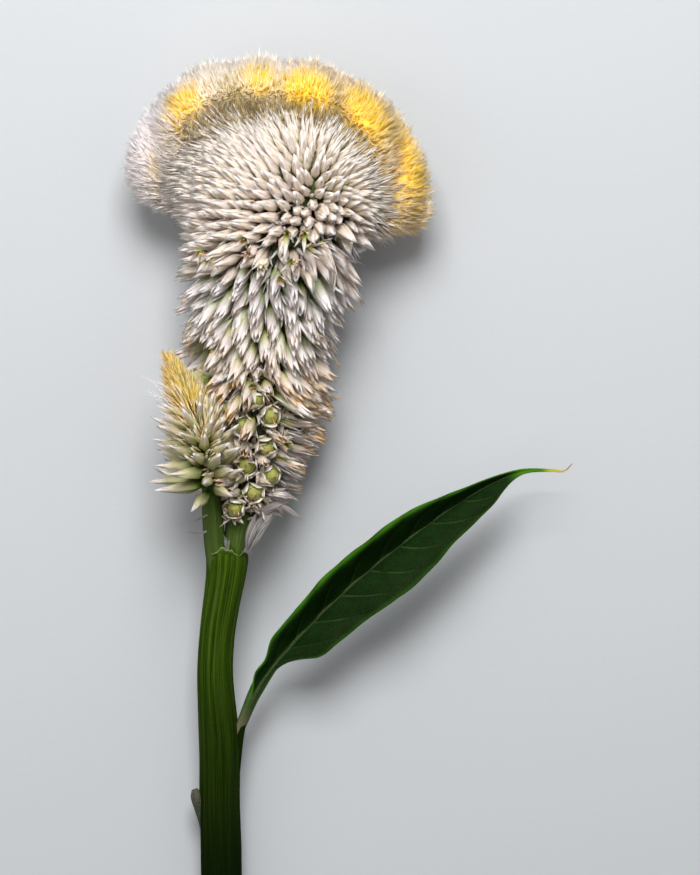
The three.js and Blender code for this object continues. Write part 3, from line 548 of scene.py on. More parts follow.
def blade_grid(share, across):
    """The blade's middle surface: from the midrib it goes out by the reach and up by the rise times k to the
    power 1.25, with a wavy margin and, on the upper half, a margin that rolls back."""
    path = smooth_path(MIDRIB, MIDRIB_START + (1 - MIDRIB_START) * share[:, 0])
    level = frames_along(path)[1]
    upper_reach, upper_rise, lower_reach, lower_rise = along_rows(BLADE, share)
    reach = np.where(across > 0, upper_reach, lower_reach)
    rise = np.where(across > 0, upper_rise, lower_rise)
    k = np.abs(across)
    wide = smoothstep(1, 3, reach)
    wave = MARGIN_WAVE * wide * k * k * np.sin(34 * share + 2 * np.sign(across))
    ripple = 0.16 * wide * k**3 * np.sin(97 * share + 3 * np.sign(across))
    rolled = MARGIN_ROLL * wide * (across > 0) * smoothstep(0.74, 1.0, k) ** 1.5
    spread = 1 + 0.09 * wide * (across > 0) * smoothstep(0.7, 1.0, k)
    grid = path[:, None] + level[:, None] * (across * reach * spread)[..., None]
    grid[..., 2] += rise * k**1.25 + wave + ripple - rolled
    return grid, k * np.hypot(reach, rise), reach


def leaf_shell():
    """Upper and lower faces at half the thickness from the middle surface, with veins sunk in the upper face
    and raised under the lower one, and the midrib a rounded cord below. Each ring goes once round the
    blade."""
    rows, half = 300, 34
    share = np.linspace(0, 1, rows)[:, None]
    across = np.linspace(-1, 1, 2 * half + 1)[None, :]
    across = np.sign(across) * np.abs(across) ** 0.85
    grid, from_midrib, reach = blade_grid(share, across)
    normal = unit(np.cross(np.gradient(grid, axis=1), np.gradient(grid, axis=0)))
    normal *= np.sign(normal[..., 2:].mean())
    k = np.abs(across)
    off_vein = vein_distance(share, across)
    vein = np.exp(-(off_vein / 0.0045) ** 2) * smoothstep(0.02, 0.12, k) * (1 - smoothstep(0.8, 1, k))
    vein = vein * smoothstep(0.22, 0.3, share) * (1 - smoothstep(0.8, 0.88, share))
    quilt = 0.5 - 0.5 * np.cos(TURN * off_vein / VEIN_STEP)
    blade = smoothstep(1, 2.6, reach)
    taper = 1 - 0.75 * smoothstep(0.1, 0.9, share)
    cord = np.exp(-(from_midrib / (0.28 + 0.5 * taper)) ** 2)
    stalk = 1 - smoothstep(0.1, 0.24, share)
    half_thick = LEAF_THICKNESS / 2 * (1 - 0.55 * smoothstep(0.75, 1, k))
    tail = 1 - 0.8 * smoothstep(0.84, 0.99, share)
    upper = half_thick + blade * (0.16 * quilt - 0.10 * vein) + 0.22 * cord * taper + 0.25 * stalk * (1 - k)
    lower = half_thick + blade * (0.10 * vein - 0.16 * quilt) + 0.95 * cord * taper + 0.85 * stalk * (1 - k**2)
    top = grid + normal * (tail * upper)[..., None]
    under = grid - normal * (tail * lower)[..., None]
    rings = np.concatenate([top, under[:, -2:0:-1]], 1)

    def both(top, under):
        top, under = (np.broadcast_to(side, grid.shape[:2]) for side in (top, under))
        return np.concatenate([top, under[:, -2:0:-1]], 1)

    values = {"below": both(0, 1), "midrib": both(from_midrib, from_midrib), "across": both(across, across)}
    return rings, values, both(share, share)


def leaf_tissue():
    """Glossy dark green with pale veins drawn by the same rule as the relief, margins in painted highlight, a
    painted sheen with glints on the lower half, a matt paler underside, a pink-white stalk and a yellow tail
    that ends brown."""
    made, tree, shader = matter("leaf_tissue", 0.5, specular_ior_level=0.03)
    lengthwise = add(tree, "ShaderNodeUVMap", uv_map="lengthwise").outputs[0]
    share = add(tree, "ShaderNodeSeparateXYZ", {0: lengthwise}).outputs[0]
    across = number(tree, "across")
    k = maths(tree, "ABSOLUTE", across)
    arch = times(tree, maths(tree, "POWER", k, 3), VEIN_ARCH)
    lean = maths(tree, "ADD", times(tree, k, VEIN_LEAN), arch)
    lower_side = times(tree, maths(tree, "LESS_THAN", across, 0), VEIN_OFFSET)
    step = maths(tree, "DIVIDE", maths(tree, "SUBTRACT", share, lean), VEIN_STEP)
    step = maths(tree, "ADD", step, lower_side)
    off_vein = maths(tree, "ABSOLUTE", maths(tree, "SUBTRACT", step, maths(tree, "ROUND", step)))
    vein = rest_of(tree, eased(tree, off_vein, 0.012, 0.055))
    for value, low, high in ((k, 0.02, 0.12), (share, 0.2, 0.3)):
        vein = times(tree, vein, eased(tree, value, low, high))
    for value, low, high in ((k, 0.45, 0.85), (share, 0.8, 0.88)):
        vein = times(tree, vein, rest_of(tree, eased(tree, value, low, high)))
    vein = times(tree, vein, maths(tree, "MULTIPLY_ADD", blotch_of(tree, 2.5), 0.8, 0.2))
    speckle = blotch_of(tree, 0.32)
    green = mixed(tree, speckle, LEAF_DARK, LEAF_GREEN)
    green = mixed(tree, times(tree, blotch_of(tree, 4.5), 0.3), green, LEAF_BLOTCH_GREEN)
    # painted sheen and glints: the lower half is painted with a speckled sheen and small glints, as if it
    # reflected the light
    downwards = times(tree, across, -1)
    low_half = eased(tree, downwards, 0.15, 0.95)
    sheen = times(tree, low_half, maths(tree, "MULTIPLY_ADD", speckle, 0.45, 0.4))
    green = mixed(tree, sheen, green, LEAF_PAINTED_SHEEN_GREEN)
    glints = times(tree, eased(tree, blotch_of(tree, 0.16), 0.6, 1.0), times(tree, low_half, 0.5))
    green = mixed(tree, glints, green, LEAF_PAINTED_GLINT)
    green = mixed(tree, times(tree, vein, 0.6), green, VEIN_PALE)
    # painted highlight: the margins, the upper one most, are painted bright green as if they caught the light
    green = mixed(tree, times(tree, eased(tree, across, 0.80, 0.96), 0.85), green, LEAF_LIT_RIM_AND_TAIL_GREEN)
    green = mixed(tree, times(tree, eased(tree, downwards, 0.86, 1), 0.2), green, LEAF_LIT_RIM_AND_TAIL_GREEN)
    under = mixed(tree, speckle, LEAF_UNDER_GREEN, LEAF_UNDER_PALE)
    under = mixed(tree, times(tree, vein, 0.6), under, LEAF_UNDER_VEIN)
    green = mixed(tree, number(tree, "below"), green, under)
    thick = maths(tree, "MULTIPLY_ADD", rest_of(tree, share), 0.5, 0.14)
    from_cord = eased(tree, maths(tree, "DIVIDE", number(tree, "midrib"), thick), 0.75, 1.25)
    cord = mixed(tree, speckle, VEIN_PALE, MIDRIB_PALE)
    green = mixed(tree, times(tree, rest_of(tree, from_cord), 0.7), green, cord)
    green = mixed(tree, times(tree, rest_of(tree, eased(tree, share, 0.01, 0.08)), 0.45), green, STALK_PINK)
    for low, high, tail in ((0.84, 0.89, LEAF_LIT_RIM_AND_TAIL_GREEN), (0.92, 0.95, TAIL_YELLOW), (0.975, 0.99, TAIL_BROWN)):
        green = mixed(tree, eased(tree, share, low, high), green, tail)
    finish_with(tree, shader, green, maths(tree, "SUBTRACT", speckle, vein), 0.00008)
    return made


rings, values, share = leaf_shell()
tube_piece("leaf_blade", rings, leaf_tissue(), values, share, values["across"], ["leaf"])


# ---------------------------------------------------------------- comb core
# The head's fleshy axis: a column that widens into a dome and then into a fan, undercut below a rounded rim
# and folded along it. It is green, and hidden by its florets but for the chinks between them.

NECK_Y = 66.3
HEAD = [  # height, centre x, flat half, left and right half, left and right bend, front, back
    (-1.5, 2.7, 0, 1.9, 1.9, 0, 0, 1.85, 1.85), (0, 2.9, 0, 1.95, 1.95, 0, 0, 1.9, 1.9),
    (4, 3.8, 0, 2.9, 2.9, 0, 0, 2.9, 2.8), (9, 4.9, 0, 4.5, 4.5, 0, 0, 4.7, 4.2),
    (17, 5.6, 0, 6.3, 6.3, 0, 0, 6.4, 5.6), (30, 6.2, 0, 7.4, 7.4, 0, 0, 7.8, 6.2),
    (42, 7.7, 0, 9.0, 9.0, 0, 0, 9.8, 7.2), (50.5, 9.2, 0.2, 10.8, 10.8, 0.03, 0.03, 11.6, 8.4),
    (59, 9.6, 0.7, 13.8, 15.4, 0.078, 0.078, 11.6, 8.8), (65, 8.8, 1.4, 18.6, 21.9, 0.083, 0.076, 9.4, 8.0),
    (71, 8.0, 2.3, 26.4, 32.4, 0.064, 0.0545, 5.8, 5.6), (75.5, 7.5, 2.8, 30.6, 38.8, 0.056, 0.045, 3.8, 3.8),
    (77.4, 7.35, 2.85, 31.8, 40.4, 0.0535, 0.0427, 2.4, 2.4),
    (78.3, 7.3, 2.9, 32.2, 41.0, 0.0525, 0.0418, 1.1, 1.1),
    (78.7, 7.3, 2.9, 32.3, 41.1, 0.0525, 0.0418, 0.25, 0.25),
]
RIM = [  # height, how much further forwards the skin stands between the lobes
    (64.5, 0.0), (67, -0.4), (69.3, -0.6), (70.7, 0.0), (72.5, 1.2), (74.5, 1.7), (76.6, 1.3), (78.2, 0.3),
    (78.7, 0.0),
]
RIM_LEFT, RIM_RIGHT = (-22, -9), (13, 25)   # across, where the rim starts and ends
HEAD_TOP = HEAD[-1][0]
NECK_Z, FAN_Z = 11.4, 11.0
FOLD_STEP, FOLD_DEPTH, FOLD_CREST = 11.6, 1.0, 8.4
CORE_PROUD = [  # height, how far the core stands off the skin
    (-1.5, -0.3), (56, -0.3), (64, 0.2), (69, 0.5), (74, 0.5), (77, 0.1), (78.7, -0.3),
]
YELLOW_PATCHES = [  # across, height, reach across and in height, strength
    (-14.0, 75.0, 3.8, 2.6, 0.8), (-0.8, 75.4, 3.6, 2.4, 0.75), (7.0, 74.4, 4.6, 2.8, 1.0),
    (17.5, 75.2, 5.6, 3.6, 1.0), (29.0, 76.4, 7.4, 4.2, 0.95),
]
# painted shade in the folds below and between the yellow patches: across, height, reach across and in height,
# strength
PAINTED_SHADE_PATCHES = [
    (-5.2, 73.6, 2.8, 2.8, 0.8), (3.0, 73.0, 2.2, 2.6, 1.0), (11.8, 74.0, 1.6, 2.8, 0.9),
    (22.8, 75.5, 1.6, 2.6, 0.5),
]
BACK_SHIFT = 6.5             # how much further right the patches lie behind
CORE_GREEN = (0.10, 0.13, 0.02, 1)
CORE_DARK = (0.030, 0.036, 0.008, 1)
CORE_LIME = (0.20, 0.23, 0.06, 1)
CORE_TAN = (0.34, 0.26, 0.14, 1)
CORE_GOLD = (0.86, 0.56, 0.01, 1)
CORE_SHADE = (0.010, 0.013, 0.004, 1)


def between_lobes(across):
    """1 in the middle of the fan, where its rim rolls forwards, and 0 on the two lobes."""
    return smoothstep(*RIM_LEFT, across) * (1 - smoothstep(*RIM_RIGHT, across))


def comb_skin(height, angle, folded=1.0):
    """Points of the comb's skin. Across is the cosine of the angle times the half width, left or right. Past
    the flat half it bends down along a circle, x = sin(bend * d) / bend and y = -(1 - cos(bend * d)) / bend.
    Depth is the sine of the angle times front or back, and towards the rim a cosine of across folds it."""
    height, angle = np.broadcast_arrays(np.asarray(height, float), np.asarray(angle, float))
    centre, flat, left, right, left_bend, right_bend, front, back = along_rows(HEAD, height)
    across = np.where(np.cos(angle) < 0, left, right) * np.cos(angle)
    bend = np.maximum(np.where(across < 0, left_bend, right_bend), 1e-4)
    run = np.clip(across, -flat, flat)
    swing = bend * (across - run)
    in_front = np.maximum(np.sin(angle), 0)
    depth = np.sin(angle) * np.where(np.sin(angle) > 0, front, back)
    depth = depth + in_front * along_rows(RIM, height)[0] * between_lobes(across)
    fold = folded * FOLD_DEPTH * smoothstep(67, 75, height) * np.cos(TURN * (across - FOLD_CREST) / FOLD_STEP)
    x = centre + run + np.sin(swing) / bend
    y = NECK_Y + height - (1 - np.cos(swing)) / bend
    z = NECK_Z + (FAN_Z - NECK_Z) * smoothstep(0, 22, height) + depth + fold
    return np.stack([x, y, z], -1), across


def comb_frame(height, angle, folded=1.0):
    """The skin's point, and how the skin faces there: the direction towards the crest, the one round the
    head, the outward normal, and how far across it lies. With folded under 1 the facing takes less of the
    folds."""
    step = 0.02
    place, across = comb_skin(height, angle)
    up = unit(comb_skin(height + step, angle, folded)[0] - comb_skin(height - step, angle, folded)[0])
    turn = unit(comb_skin(height, angle + step, folded)[0] - comb_skin(height, angle - step, folded)[0])
    return place, up, turn, unit(np.cross(up, turn)), across


def patch_share(patches, across, height, angle):
    """How strong the strongest patch is at a place: each fades from its middle as exp(-(d / reach) squared),
    with d both across and in height. Behind, the patches lie further right."""
    across = across - BACK_SHIFT * (np.sin(angle) < 0)
    at = np.stack(np.broadcast_arrays(across, height), -1)[..., None, :]
    rows = np.array(patches)
    far = (((at - rows[:, :2]) / rows[:, 2:4]) ** 2).sum(-1)
    return (rows[:, 4] * np.exp(-far)).max(-1)


def core_tissue():
    """Juicy and mottled: painted shade among the capsules, olive green higher up, lime on the right of the dome,
    and tan and gold under the young rim."""
    made, tree, shader = matter("core_tissue", 0.5)
    blotch = blotch_of(tree, 1.2)
    # painted shade: low on the core, among the capsules, it is painted near black
    low = mixed(tree, blotch, CORE_SHADE, CORE_DARK)
    green = mixed(tree, number(tree, "grown"), low, mixed(tree, blotch, CORE_DARK, CORE_GREEN))
    green = mixed(tree, number(tree, "fresh"), green, CORE_LIME)
    tan = mixed(tree, number(tree, "young"), green, CORE_TAN)
    finish_with(tree, shader, mixed(tree, number(tree, "yellow"), tan, CORE_GOLD), blotch, 0.0002)
    return made


height = np.linspace(-1.5, HEAD_TOP - 0.05, 130)[:, None]
angle = once_round(160)
place, _, _, outward, across = comb_frame(height, angle)
rings = place + along_rows(CORE_PROUD, height)[0][..., None] * outward
# grown is 0 low on the core, where it is painted dark as shade among the capsules, and 1 higher up
values = {
    "grown": smoothstep(18, 30, height), "fresh": smoothstep(52, 62, height) * smoothstep(8, 20, across),
    "young": smoothstep(62, 69, height), "yellow": patch_share(YELLOW_PATCHES, across, height, angle)}
tube_piece("comb_core", rings, core_tissue(), values, nodes=["comb_florets", "comb_crest"])


# ---------------------------------------------------------------- comb florets
# Each floret is a bud of five papery, pointed tepals, overlapping round a slim cone, rooted in the skin. They
# hang towards the stem on the column, face outwards on the dome and lean to the crest above it.

FLORET = [  # height, length, bud radius, opening, lean to the crest at the sides and in front, spacing
    (4, 2.8, 0.60, 0.06, 25, 25, 2.2), (7, 4.6, 0.95, 0.06, 12, 10, 2.4), (12, 6.0, 1.08, 0.07, 2, -8, 2.5),
    (20, 6.8, 1.08, 0.07, -14, -30, 2.45), (30, 7.1, 1.12, 0.06, -34, -50, 2.48),
    (40, 6.9, 1.08, 0.04, -36, -50, 2.35), (46, 6.4, 1.02, 0.02, -28, -34, 2.1),
    (50, 5.8, 1.0, 0.01, -12, -14, 1.9), (54, 5.3, 0.95, 0.0, 6, 6, 1.72), (58, 4.8, 0.85, 0.0, 24, 28, 1.50),
    (62, 4.3, 0.69, 0.01, 38, 44, 1.25), (65, 3.9, 0.54, 0.02, 46, 52, 1.04),
    (68, 3.5, 0.40, 0.03, 50, 54, 0.86), (70.5, 3.3, 0.27, 0.04, 52, 52, 0.74),
    (74, 3.1, 0.24, 0.05, 54, 52, 0.64), (78.6, 2.9, 0.22, 0.05, 52, 50, 0.56),
]
BUD = [(0, 0.36), (0.15, 0.76), (0.33, 1.0), (0.5, 0.92), (0.7, 0.62), (0.86, 0.30), (1, 0.02)]
TEPAL = [(0, 0.5), (0.15, 0.85), (0.35, 1.0), (0.55, 0.9), (0.75, 0.62), (0.9, 0.3), (1, 0.0)]
PARTED_BUD = [(0, 0.36), (0.15, 0.76), (0.33, 1.0), (0.5, 0.95), (0.7, 0.70), (0.86, 0.44), (1, 0.22)]
PARTED_TEPAL = [(0, 0.5), (0.15, 0.85), (0.35, 1.0), (0.55, 0.86), (0.75, 0.52), (0.88, 0.26), (1, 0.0)]
FIBRE_GREY = (0.46, 0.39, 0.36, 1)
RIPE_TAN = (0.78, 0.60, 0.36, 1)
FRESH_CREAM = (1.0, 0.90, 0.72, 1)
FRESH_SAP = (0.50, 0.54, 0.16, 1)
TEPAL_HALF = 1.15        # half a tepal's greatest width, in bud radii
TEPAL_PAPER = 0.11
ROW_PITCH = 0.87         # from row to row, in spacings
ROOT_DEPTH = 0.5
FLOOR_CLEAR = 0.12
LEFT_COMBED = 5          # across, up to where the dome's florets are combed to the left; 1 on the column
LEFT_PULL, RIGHT_PULL = 0.75, 1.5
POLE_SLANT = 0.6         # of height to each step across, along the line where florets face outwards
POLE_FORWARDS = 0.55
LENGTH_VARIES, LEAN_VARIES = 0.09, 6
SPEAR_LONGER, SPEAR_WIDER = 0.25, 0.35
LANCE_SHORTER, LANCE_SLIMMER = 0.2, 0.4
STATIONS_FINE, STATIONS, STATIONS_SMALL = (0, 0.3, 0.6, 0.85), (0, 0.38, 0.75), (0, 0.45)
draw = np.random.default_rng(7)


def comb_places():
    """Heights and angles of all florets: rows that follow the skin, each a ROW_PITCH of the local spacing
    from the next, and in a row one floret a spacing, every other row half a step on."""
    height = np.linspace(3.6, HEAD_TOP - 0.1, 700)
    angle = np.linspace(0, TURN, 721)
    points, _ = comb_skin(height[:, None], angle[None, :])
    spacing = along_rows(FLORET, height)[-1][:, None]
    climb = np.linalg.norm(np.diff(points, axis=0), axis=-1) / (ROW_PITCH * spacing[1:])
    row = np.concatenate([np.zeros((1, len(angle))), np.cumsum(climb, 0)])
    heights, angles = [], []
    for k in range(1, int(row.max())):
        above = np.minimum((row < k).sum(0), len(height) - 1)
        here = row[above, np.arange(len(angle))]
        under = row[above - 1, np.arange(len(angle))]
        level = height[above] - (here - k) / np.maximum(here - under, 1e-6) * (height[1] - height[0])
        inside = (row[-1] > k).astype(float)
        ring, _ = comb_skin(level, angle)
        arc = np.linalg.norm(np.diff(ring, axis=0), axis=-1) / along_rows(FLORET, level)[-1][1:]
        length = np.concatenate([[0], np.cumsum(arc * inside[1:] * inside[:-1])])
        count = int(length[-1])
        wanted = (np.arange(count) + 0.5 * (k % 2) + 0.25 + draw.uniform(-0.13, 0.13, count)) % count
        angles.append(np.interp(wanted * length[-1] / count, length, angle))
        heights.append(np.interp(angles[-1], angle, level))
    heights, angles = np.concatenate(heights), np.concatenate(angles)
    spread = 0.12 * along_rows(FLORET, heights)[-1]
    return np.clip(heights + draw.normal(0, 0.6, len(heights)) * spread, 3.6, HEAD_TOP - 0.1), angles


def off_floor(place, aim, length):
    """Directions raised so that what is so long ends FLOOR_CLEAR above the table or higher."""
    lowest = (FLOOR_CLEAR - place[:, 2]) / length
    rise = np.maximum(aim[:, 2], np.minimum(lowest, 0.95))
    level = unit(aim[:, :2]) * np.sqrt(1 - np.minimum(rise * rise, 0.99))[:, None]
    return np.column_stack([np.where((rise > aim[:, 2])[:, None], level, aim[:, :2]), rise])


def florets(place, aim, bow, length, radius, opening, tepals, stations, bud_rows=BUD, blade_rows=TEPAL,
            flatness=0.0, draw=draw):
    """Tepals as thin closed shells. At each share t of a tepal's length four points make its section: left
    margin, keel, right margin and inner face. The keel stands at radius * layer * bud(t) + opening * length *
    t squared from the bud's axis, and the margins half a tepal's width round it, or straight aside if flat.
    Gives points, faces, numbers for each point by name, its place on the map, and marks for the crisp
    margins."""
    count = len(place)
    length, radius, opening = (np.broadcast_to(value, count) for value in (length, radius, opening))
    t = np.asarray(stations, float)
    bud, blade = along_rows(bud_rows, t)[0], along_rows(blade_rows, t)[0]
    order = np.arange(tepals)
    azimuth = draw.uniform(0, TURN, (count, 1)) + 2 * TURN * order / tepals
    azimuth = azimuth + draw.normal(0, 0.12, (count, tepals))
    layer = 1.06 - 0.05 * order
    uneven = 0.03 + 0.5 * np.abs(opening[:, None])
    reach = length[:, None] * (1 + uneven * draw.normal(size=(count, tepals)))
    spread = opening[:, None] * (1 + 0.5 * draw.normal(size=(count, tepals)))
    p = unit(np.cross(aim, np.array([0.31, 0.17, 0.93])))
    q = np.cross(aim, p)
    cosine, sine = np.cos(azimuth)[..., None], np.sin(azimuth)[..., None]
    outwards = cosine * p[:, None] + sine * q[:, None]
    sideways = cosine * q[:, None] - sine * p[:, None]
    size = radius[:, None, None]
    middle = size * layer[:, None] * bud + spread[..., None] * reach[..., None] * t * t
    hug = np.maximum(size * layer[:, None] * bud, 0.35 * size)
    wrap = np.minimum(TEPAL_HALF * size * blade / hug, 1.3)
    margin = middle - hug * (1 - np.cos(wrap)) * (1 - flatness)
    aside = hug * (np.sin(wrap) * (1 - flatness) + wrap * flatness)
    paper = np.minimum(TEPAL_PAPER, 0.25 * size)
    out = np.stack([margin, middle + 0.05 * size, margin, middle - paper], -1)
    side = np.stack([-aside, 0 * aside, aside, 0 * aside], -1)
    axis = place[:, None, None] + aim[:, None, None] * (reach[..., None] * t)[..., None]
    axis = axis + (bow * length[:, None])[:, None, None] * (t * t)[:, None]
    body = axis[..., None, :] + out[..., None] * outwards[:, :, None, None]
    body = body + side[..., None] * sideways[:, :, None, None]
    end = bud_rows[-1][1] * layer * radius[:, None]
    tip = (place[:, None] + aim[:, None] * reach[..., None] + (bow * length[:, None])[:, None]
           + outwards * (spread * reach + end)[..., None])
    points = np.concatenate([body.reshape(count, tepals, -1, 3), tip[:, :, None]], 2)
    points[..., 2] = np.maximum(points[..., 2], 0.3 * FLOOR_CLEAR)
    bands = len(t)
    i = np.arange(4)
    first = 4 * np.arange(bands - 1)[:, None]
    follows = (i + 1) % 4
    quads = np.stack([first + i, first + follows, first + follows + 4, first + i + 4], -1).reshape(-1, 4)
    quads = np.concatenate([quads, [[3, 2, 1, 0]]])
    tips = np.stack([4 * (bands - 1) + i, 4 * (bands - 1) + follows, np.full(4, 4 * bands)], -1)
    each = points.shape[2]
    start = (np.arange(count * tepals) * each)[:, None, None]
    faces = [(start + quads).reshape(-1, 4), (start + tips).reshape(-1, 3)]
    share = np.append(np.repeat(t, 4), 1.0)
    full = np.ones((count, tepals, each))
    tone = 0.5 + 0.22 * draw.normal(size=(count, 1, 1)) + 0.12 * draw.normal(size=(count, tepals, 1))
    values = {"along": share * full, "tone": tone.clip(0, 1) * full}
    around = np.append(np.tile([0.0, 0.5, 1.0, 0.5], bands), 0.5)
    fibre = np.stack([around + 3.7 * draw.uniform(0, 9, (count, tepals, 1)), share * full], -1)
    margins = np.append(np.tile([1, 0, 2, 0], bands), 0) * full
    return points.reshape(-1, 3), faces, values, fibre.reshape(-1, 2), margins.astype(int).ravel()


def petal_piece(name, grown, material, node, ripe=0.0, fresh=0.0):
    """Florets as one piece. How ripe and how fresh they are is one number, or one for each floret."""
    points, faces, values, fibre, margins = grown
    for key, share in (("ripe", ripe), ("fresh", fresh)):
        values[key] = np.repeat(share, len(points) // np.size(share))
    make_piece(name, points, faces, material, values, fibre, margins, [node])


def floret_petals(name, body, blush, root, tip, ripe_tip, sap_and_shade_reach, fibre=FIBRE_GREY):
    """Papery tepal: root colour up to a share of it, the base's green darkened with painted shade where the
    buds overlap, then a body with fine lengthwise fibres and lilac blush, and a tip that dries to tan where
    the floret is ripe."""
    made, tree, shader = matter(
        name, 0.5, specular_ior_level=0.35, subsurface_weight=0.25, subsurface_scale=0.0008,
        subsurface_radius=(1.0, 0.75, 0.5))
    streak = streak_of(tree, 11, 1.0)
    along, tone = number(tree, "along"), number(tree, "tone")
    ripe, fresh = number(tree, "ripe"), number(tree, "fresh")
    flushed = maths(tree, "ADD", tone, times(tree, streak, 0.25))
    colour = mixed(tree, eased(tree, flushed, 0.35, 1.0), body, blush)
    for share, second in (
            (times(tree, streak, 0.34), fibre),
            (times(tree, ripe, 0.3), RIPE_TAN),
            (times(tree, fresh, 0.45), FRESH_CREAM),
            # the root: the base's own green, darkened as painted shade where the next buds cover it
            (rest_of(tree, eased(tree, along, 0.08, sap_and_shade_reach)), mixed(tree, fresh, root, FRESH_SAP))):
        colour = mixed(tree, share, colour, second)
    dry = times(tree, ripe, eased(tree, maths(tree, "ADD", tone, streak), 0.6, 1.15))
    colour = mixed(tree, eased(tree, along, 0.62, 0.95), colour, mixed(tree, dry, tip, ripe_tip))
    colour = mixed(tree, times(tree, dry, times(tree, streak, 0.45)), colour, ripe_tip)
    finish_with(tree, shader, colour, streak, 0.00008)
    return made


place_heights, place_angles = comb_places()
young = smoothstep(67.0, 71.5, place_heights) > draw.uniform(size=len(place_heights))
white_petals = floret_petals(
    "white_petals", body=(0.90, 0.76, 0.59, 1), blush=(0.87, 0.71, 0.63, 1), root=(0.16, 0.165, 0.035, 1),
    tip=(0.98, 0.89, 0.81, 1), ripe_tip=(0.56, 0.32, 0.14, 1), sap_and_shade_reach=0.5)
silver_petals = floret_petals(
    "silver_petals", body=(0.79, 0.73, 0.70, 1), blush=(0.70, 0.62, 0.69, 1), root=(0.24, 0.34, 0.02, 1),
    tip=(0.98, 0.92, 0.91, 1), ripe_tip=(0.72, 0.38, 0.08, 1), sap_and_shade_reach=0.75, fibre=(0.50, 0.45, 0.47, 1))
valley_petals = floret_petals(
    "valley_petals", body=(0.97, 0.84, 0.66, 1), blush=(0.96, 0.82, 0.70, 1), root=(0.66, 0.56, 0.34, 1),
    tip=(0.99, 0.93, 0.87, 1), ripe_tip=(0.56, 0.32, 0.14, 1), sap_and_shade_reach=0.35, fibre=(0.72, 0.63, 0.54, 1))
RIPENESS = [
    (0, 0.5), (10, 0.75), (18, 1.0), (27, 0.85), (35, 0.42), (44, 0.18), (52, 0.06), (58, 0.0), (79, 0.0),
]

CAPSULE_PLACES = [
    (3.0, 71.4), (5.4, 74.4), (7.9, 76.8), (4.8, 78.3), (7.4, 81.8), (4.6, 84.6), (8.1, 86.8), (2.4, 87.6),
    (5.8, 89.4),
]
STAR_PLACE = (1.8, 81.7)
CAPSULE_CLEAR, TIP_CLEAR = 1.8, 1.7    # how far florets' roots and tips keep from a capsule's middle
TIP_SHORT = 0.55             # how short a floret stays whose tip would hang over a capsule
SPIKE_AXIS = [
    (-0.9, 65.0, 12.0), (-1.2, 70.5, 13.6), (-1.7, 76.0, 16.2), (-3.1, 83.5, 17.6), (-5.6, 90.0, 17.8),
    (-7.9, 95.2, 17.4),
]
SPIKE_CLEAR = 3.6
SPEARS_APART = 0.5           # the share of the spears' places that stay empty
STUNTED = 0.6                # how long the florets are that fill such places at the side and behind
STUNTED_OPENING = 0.05
UNDER_LEFT_PULL = np.array([-0.3, 0.2, 0.0])   # how the florets under the fan's left end turn out and up
FORWARDS = np.array([0.0, 0.0, 1.0])


def from_capsules(points):
    """How far points lie, seen from above, from the nearest seed capsule's middle."""
    centres = np.array([*CAPSULE_PLACES, STAR_PLACE])
    return np.linalg.norm(points[:, None, :2] - centres, axis=-1).min(1)


def clear_of_neighbours(place, aim, length, outward):
    """Which florets keep clear of the seed capsules in front and of the side spike's axis."""
    spike = smooth_path(SPIKE_AXIS, np.linspace(0, 1, 40))
    tip = place + aim * length[:, None]
    to_spike = np.linalg.norm(tip[:, None] - spike[None], axis=-1).min(1)
    return ((from_capsules(place) > CAPSULE_CLEAR) | (outward[:, 2] < 0.2)) & (to_spike > SPIKE_CLEAR)


def spear_share(heights, angles):
    """1 for the long florets that stand out to the right under the fan, 0 elsewhere."""
    band = smoothstep(41, 46, heights) * (1 - smoothstep(55, 59, heights))
    return band * smoothstep(0.3, 0.8, np.cos(angles))


def under_left(heights, angles):
    """1 on the underside of the fan's left end, 0 elsewhere."""
    band = smoothstep(60, 65, heights) * (1 - smoothstep(70, 74, heights))
    return band * smoothstep(0.4, 0.8, -np.cos(angles))


def combed(up, turn, outward, across, heights, angles):
    """Which way the florets point: from the outward normal towards growing height by the lean, and in front
    also sideways. Left of the middle they are combed to the left, and low on the right to the right. Round
    the point that faces outwards, which lies higher the further right, the normal gives way to straight
    forwards."""
    front = smoothstep(0, 0.4, np.sin(angles))
    shifted = heights - front * POLE_SLANT * np.clip(across, -4, 12) * smoothstep(40, 50, heights)
    side_lean, front_lean = along_rows(FLORET, shifted)[3:5]
    facing = np.abs(np.sin(angles))
    spread = draw.normal(0, LEAN_VARIES, len(heights)) + LEAN_VARIES * spear_share(heights, angles)
    lean = np.radians(side_lean + (front_lean - side_lean) * facing + spread)[:, None]
    round_pole = smoothstep(44, 52, heights) * (1 - smoothstep(60, 66, heights)) * front
    outward = unit(outward + (POLE_FORWARDS * round_pole)[:, None] * FORWARDS)
    comb_edge = 1 + (LEFT_COMBED - 1) * smoothstep(49, 56, heights)
    on_dome = smoothstep(44, 52, heights) * (1 - smoothstep(67, 71, heights))
    leftwards = smoothstep(-5, 5, comb_edge - across) * on_dome
    rightwards = smoothstep(1.5, 5, across) * (1 - smoothstep(22, 32, heights))
    sideways = front * (LEFT_PULL * leftwards - RIGHT_PULL * rightwards) + draw.normal(0, 0.09, len(heights))
    return unit(np.cos(lean) * outward + np.sin(lean) * up + sideways[:, None] * turn)


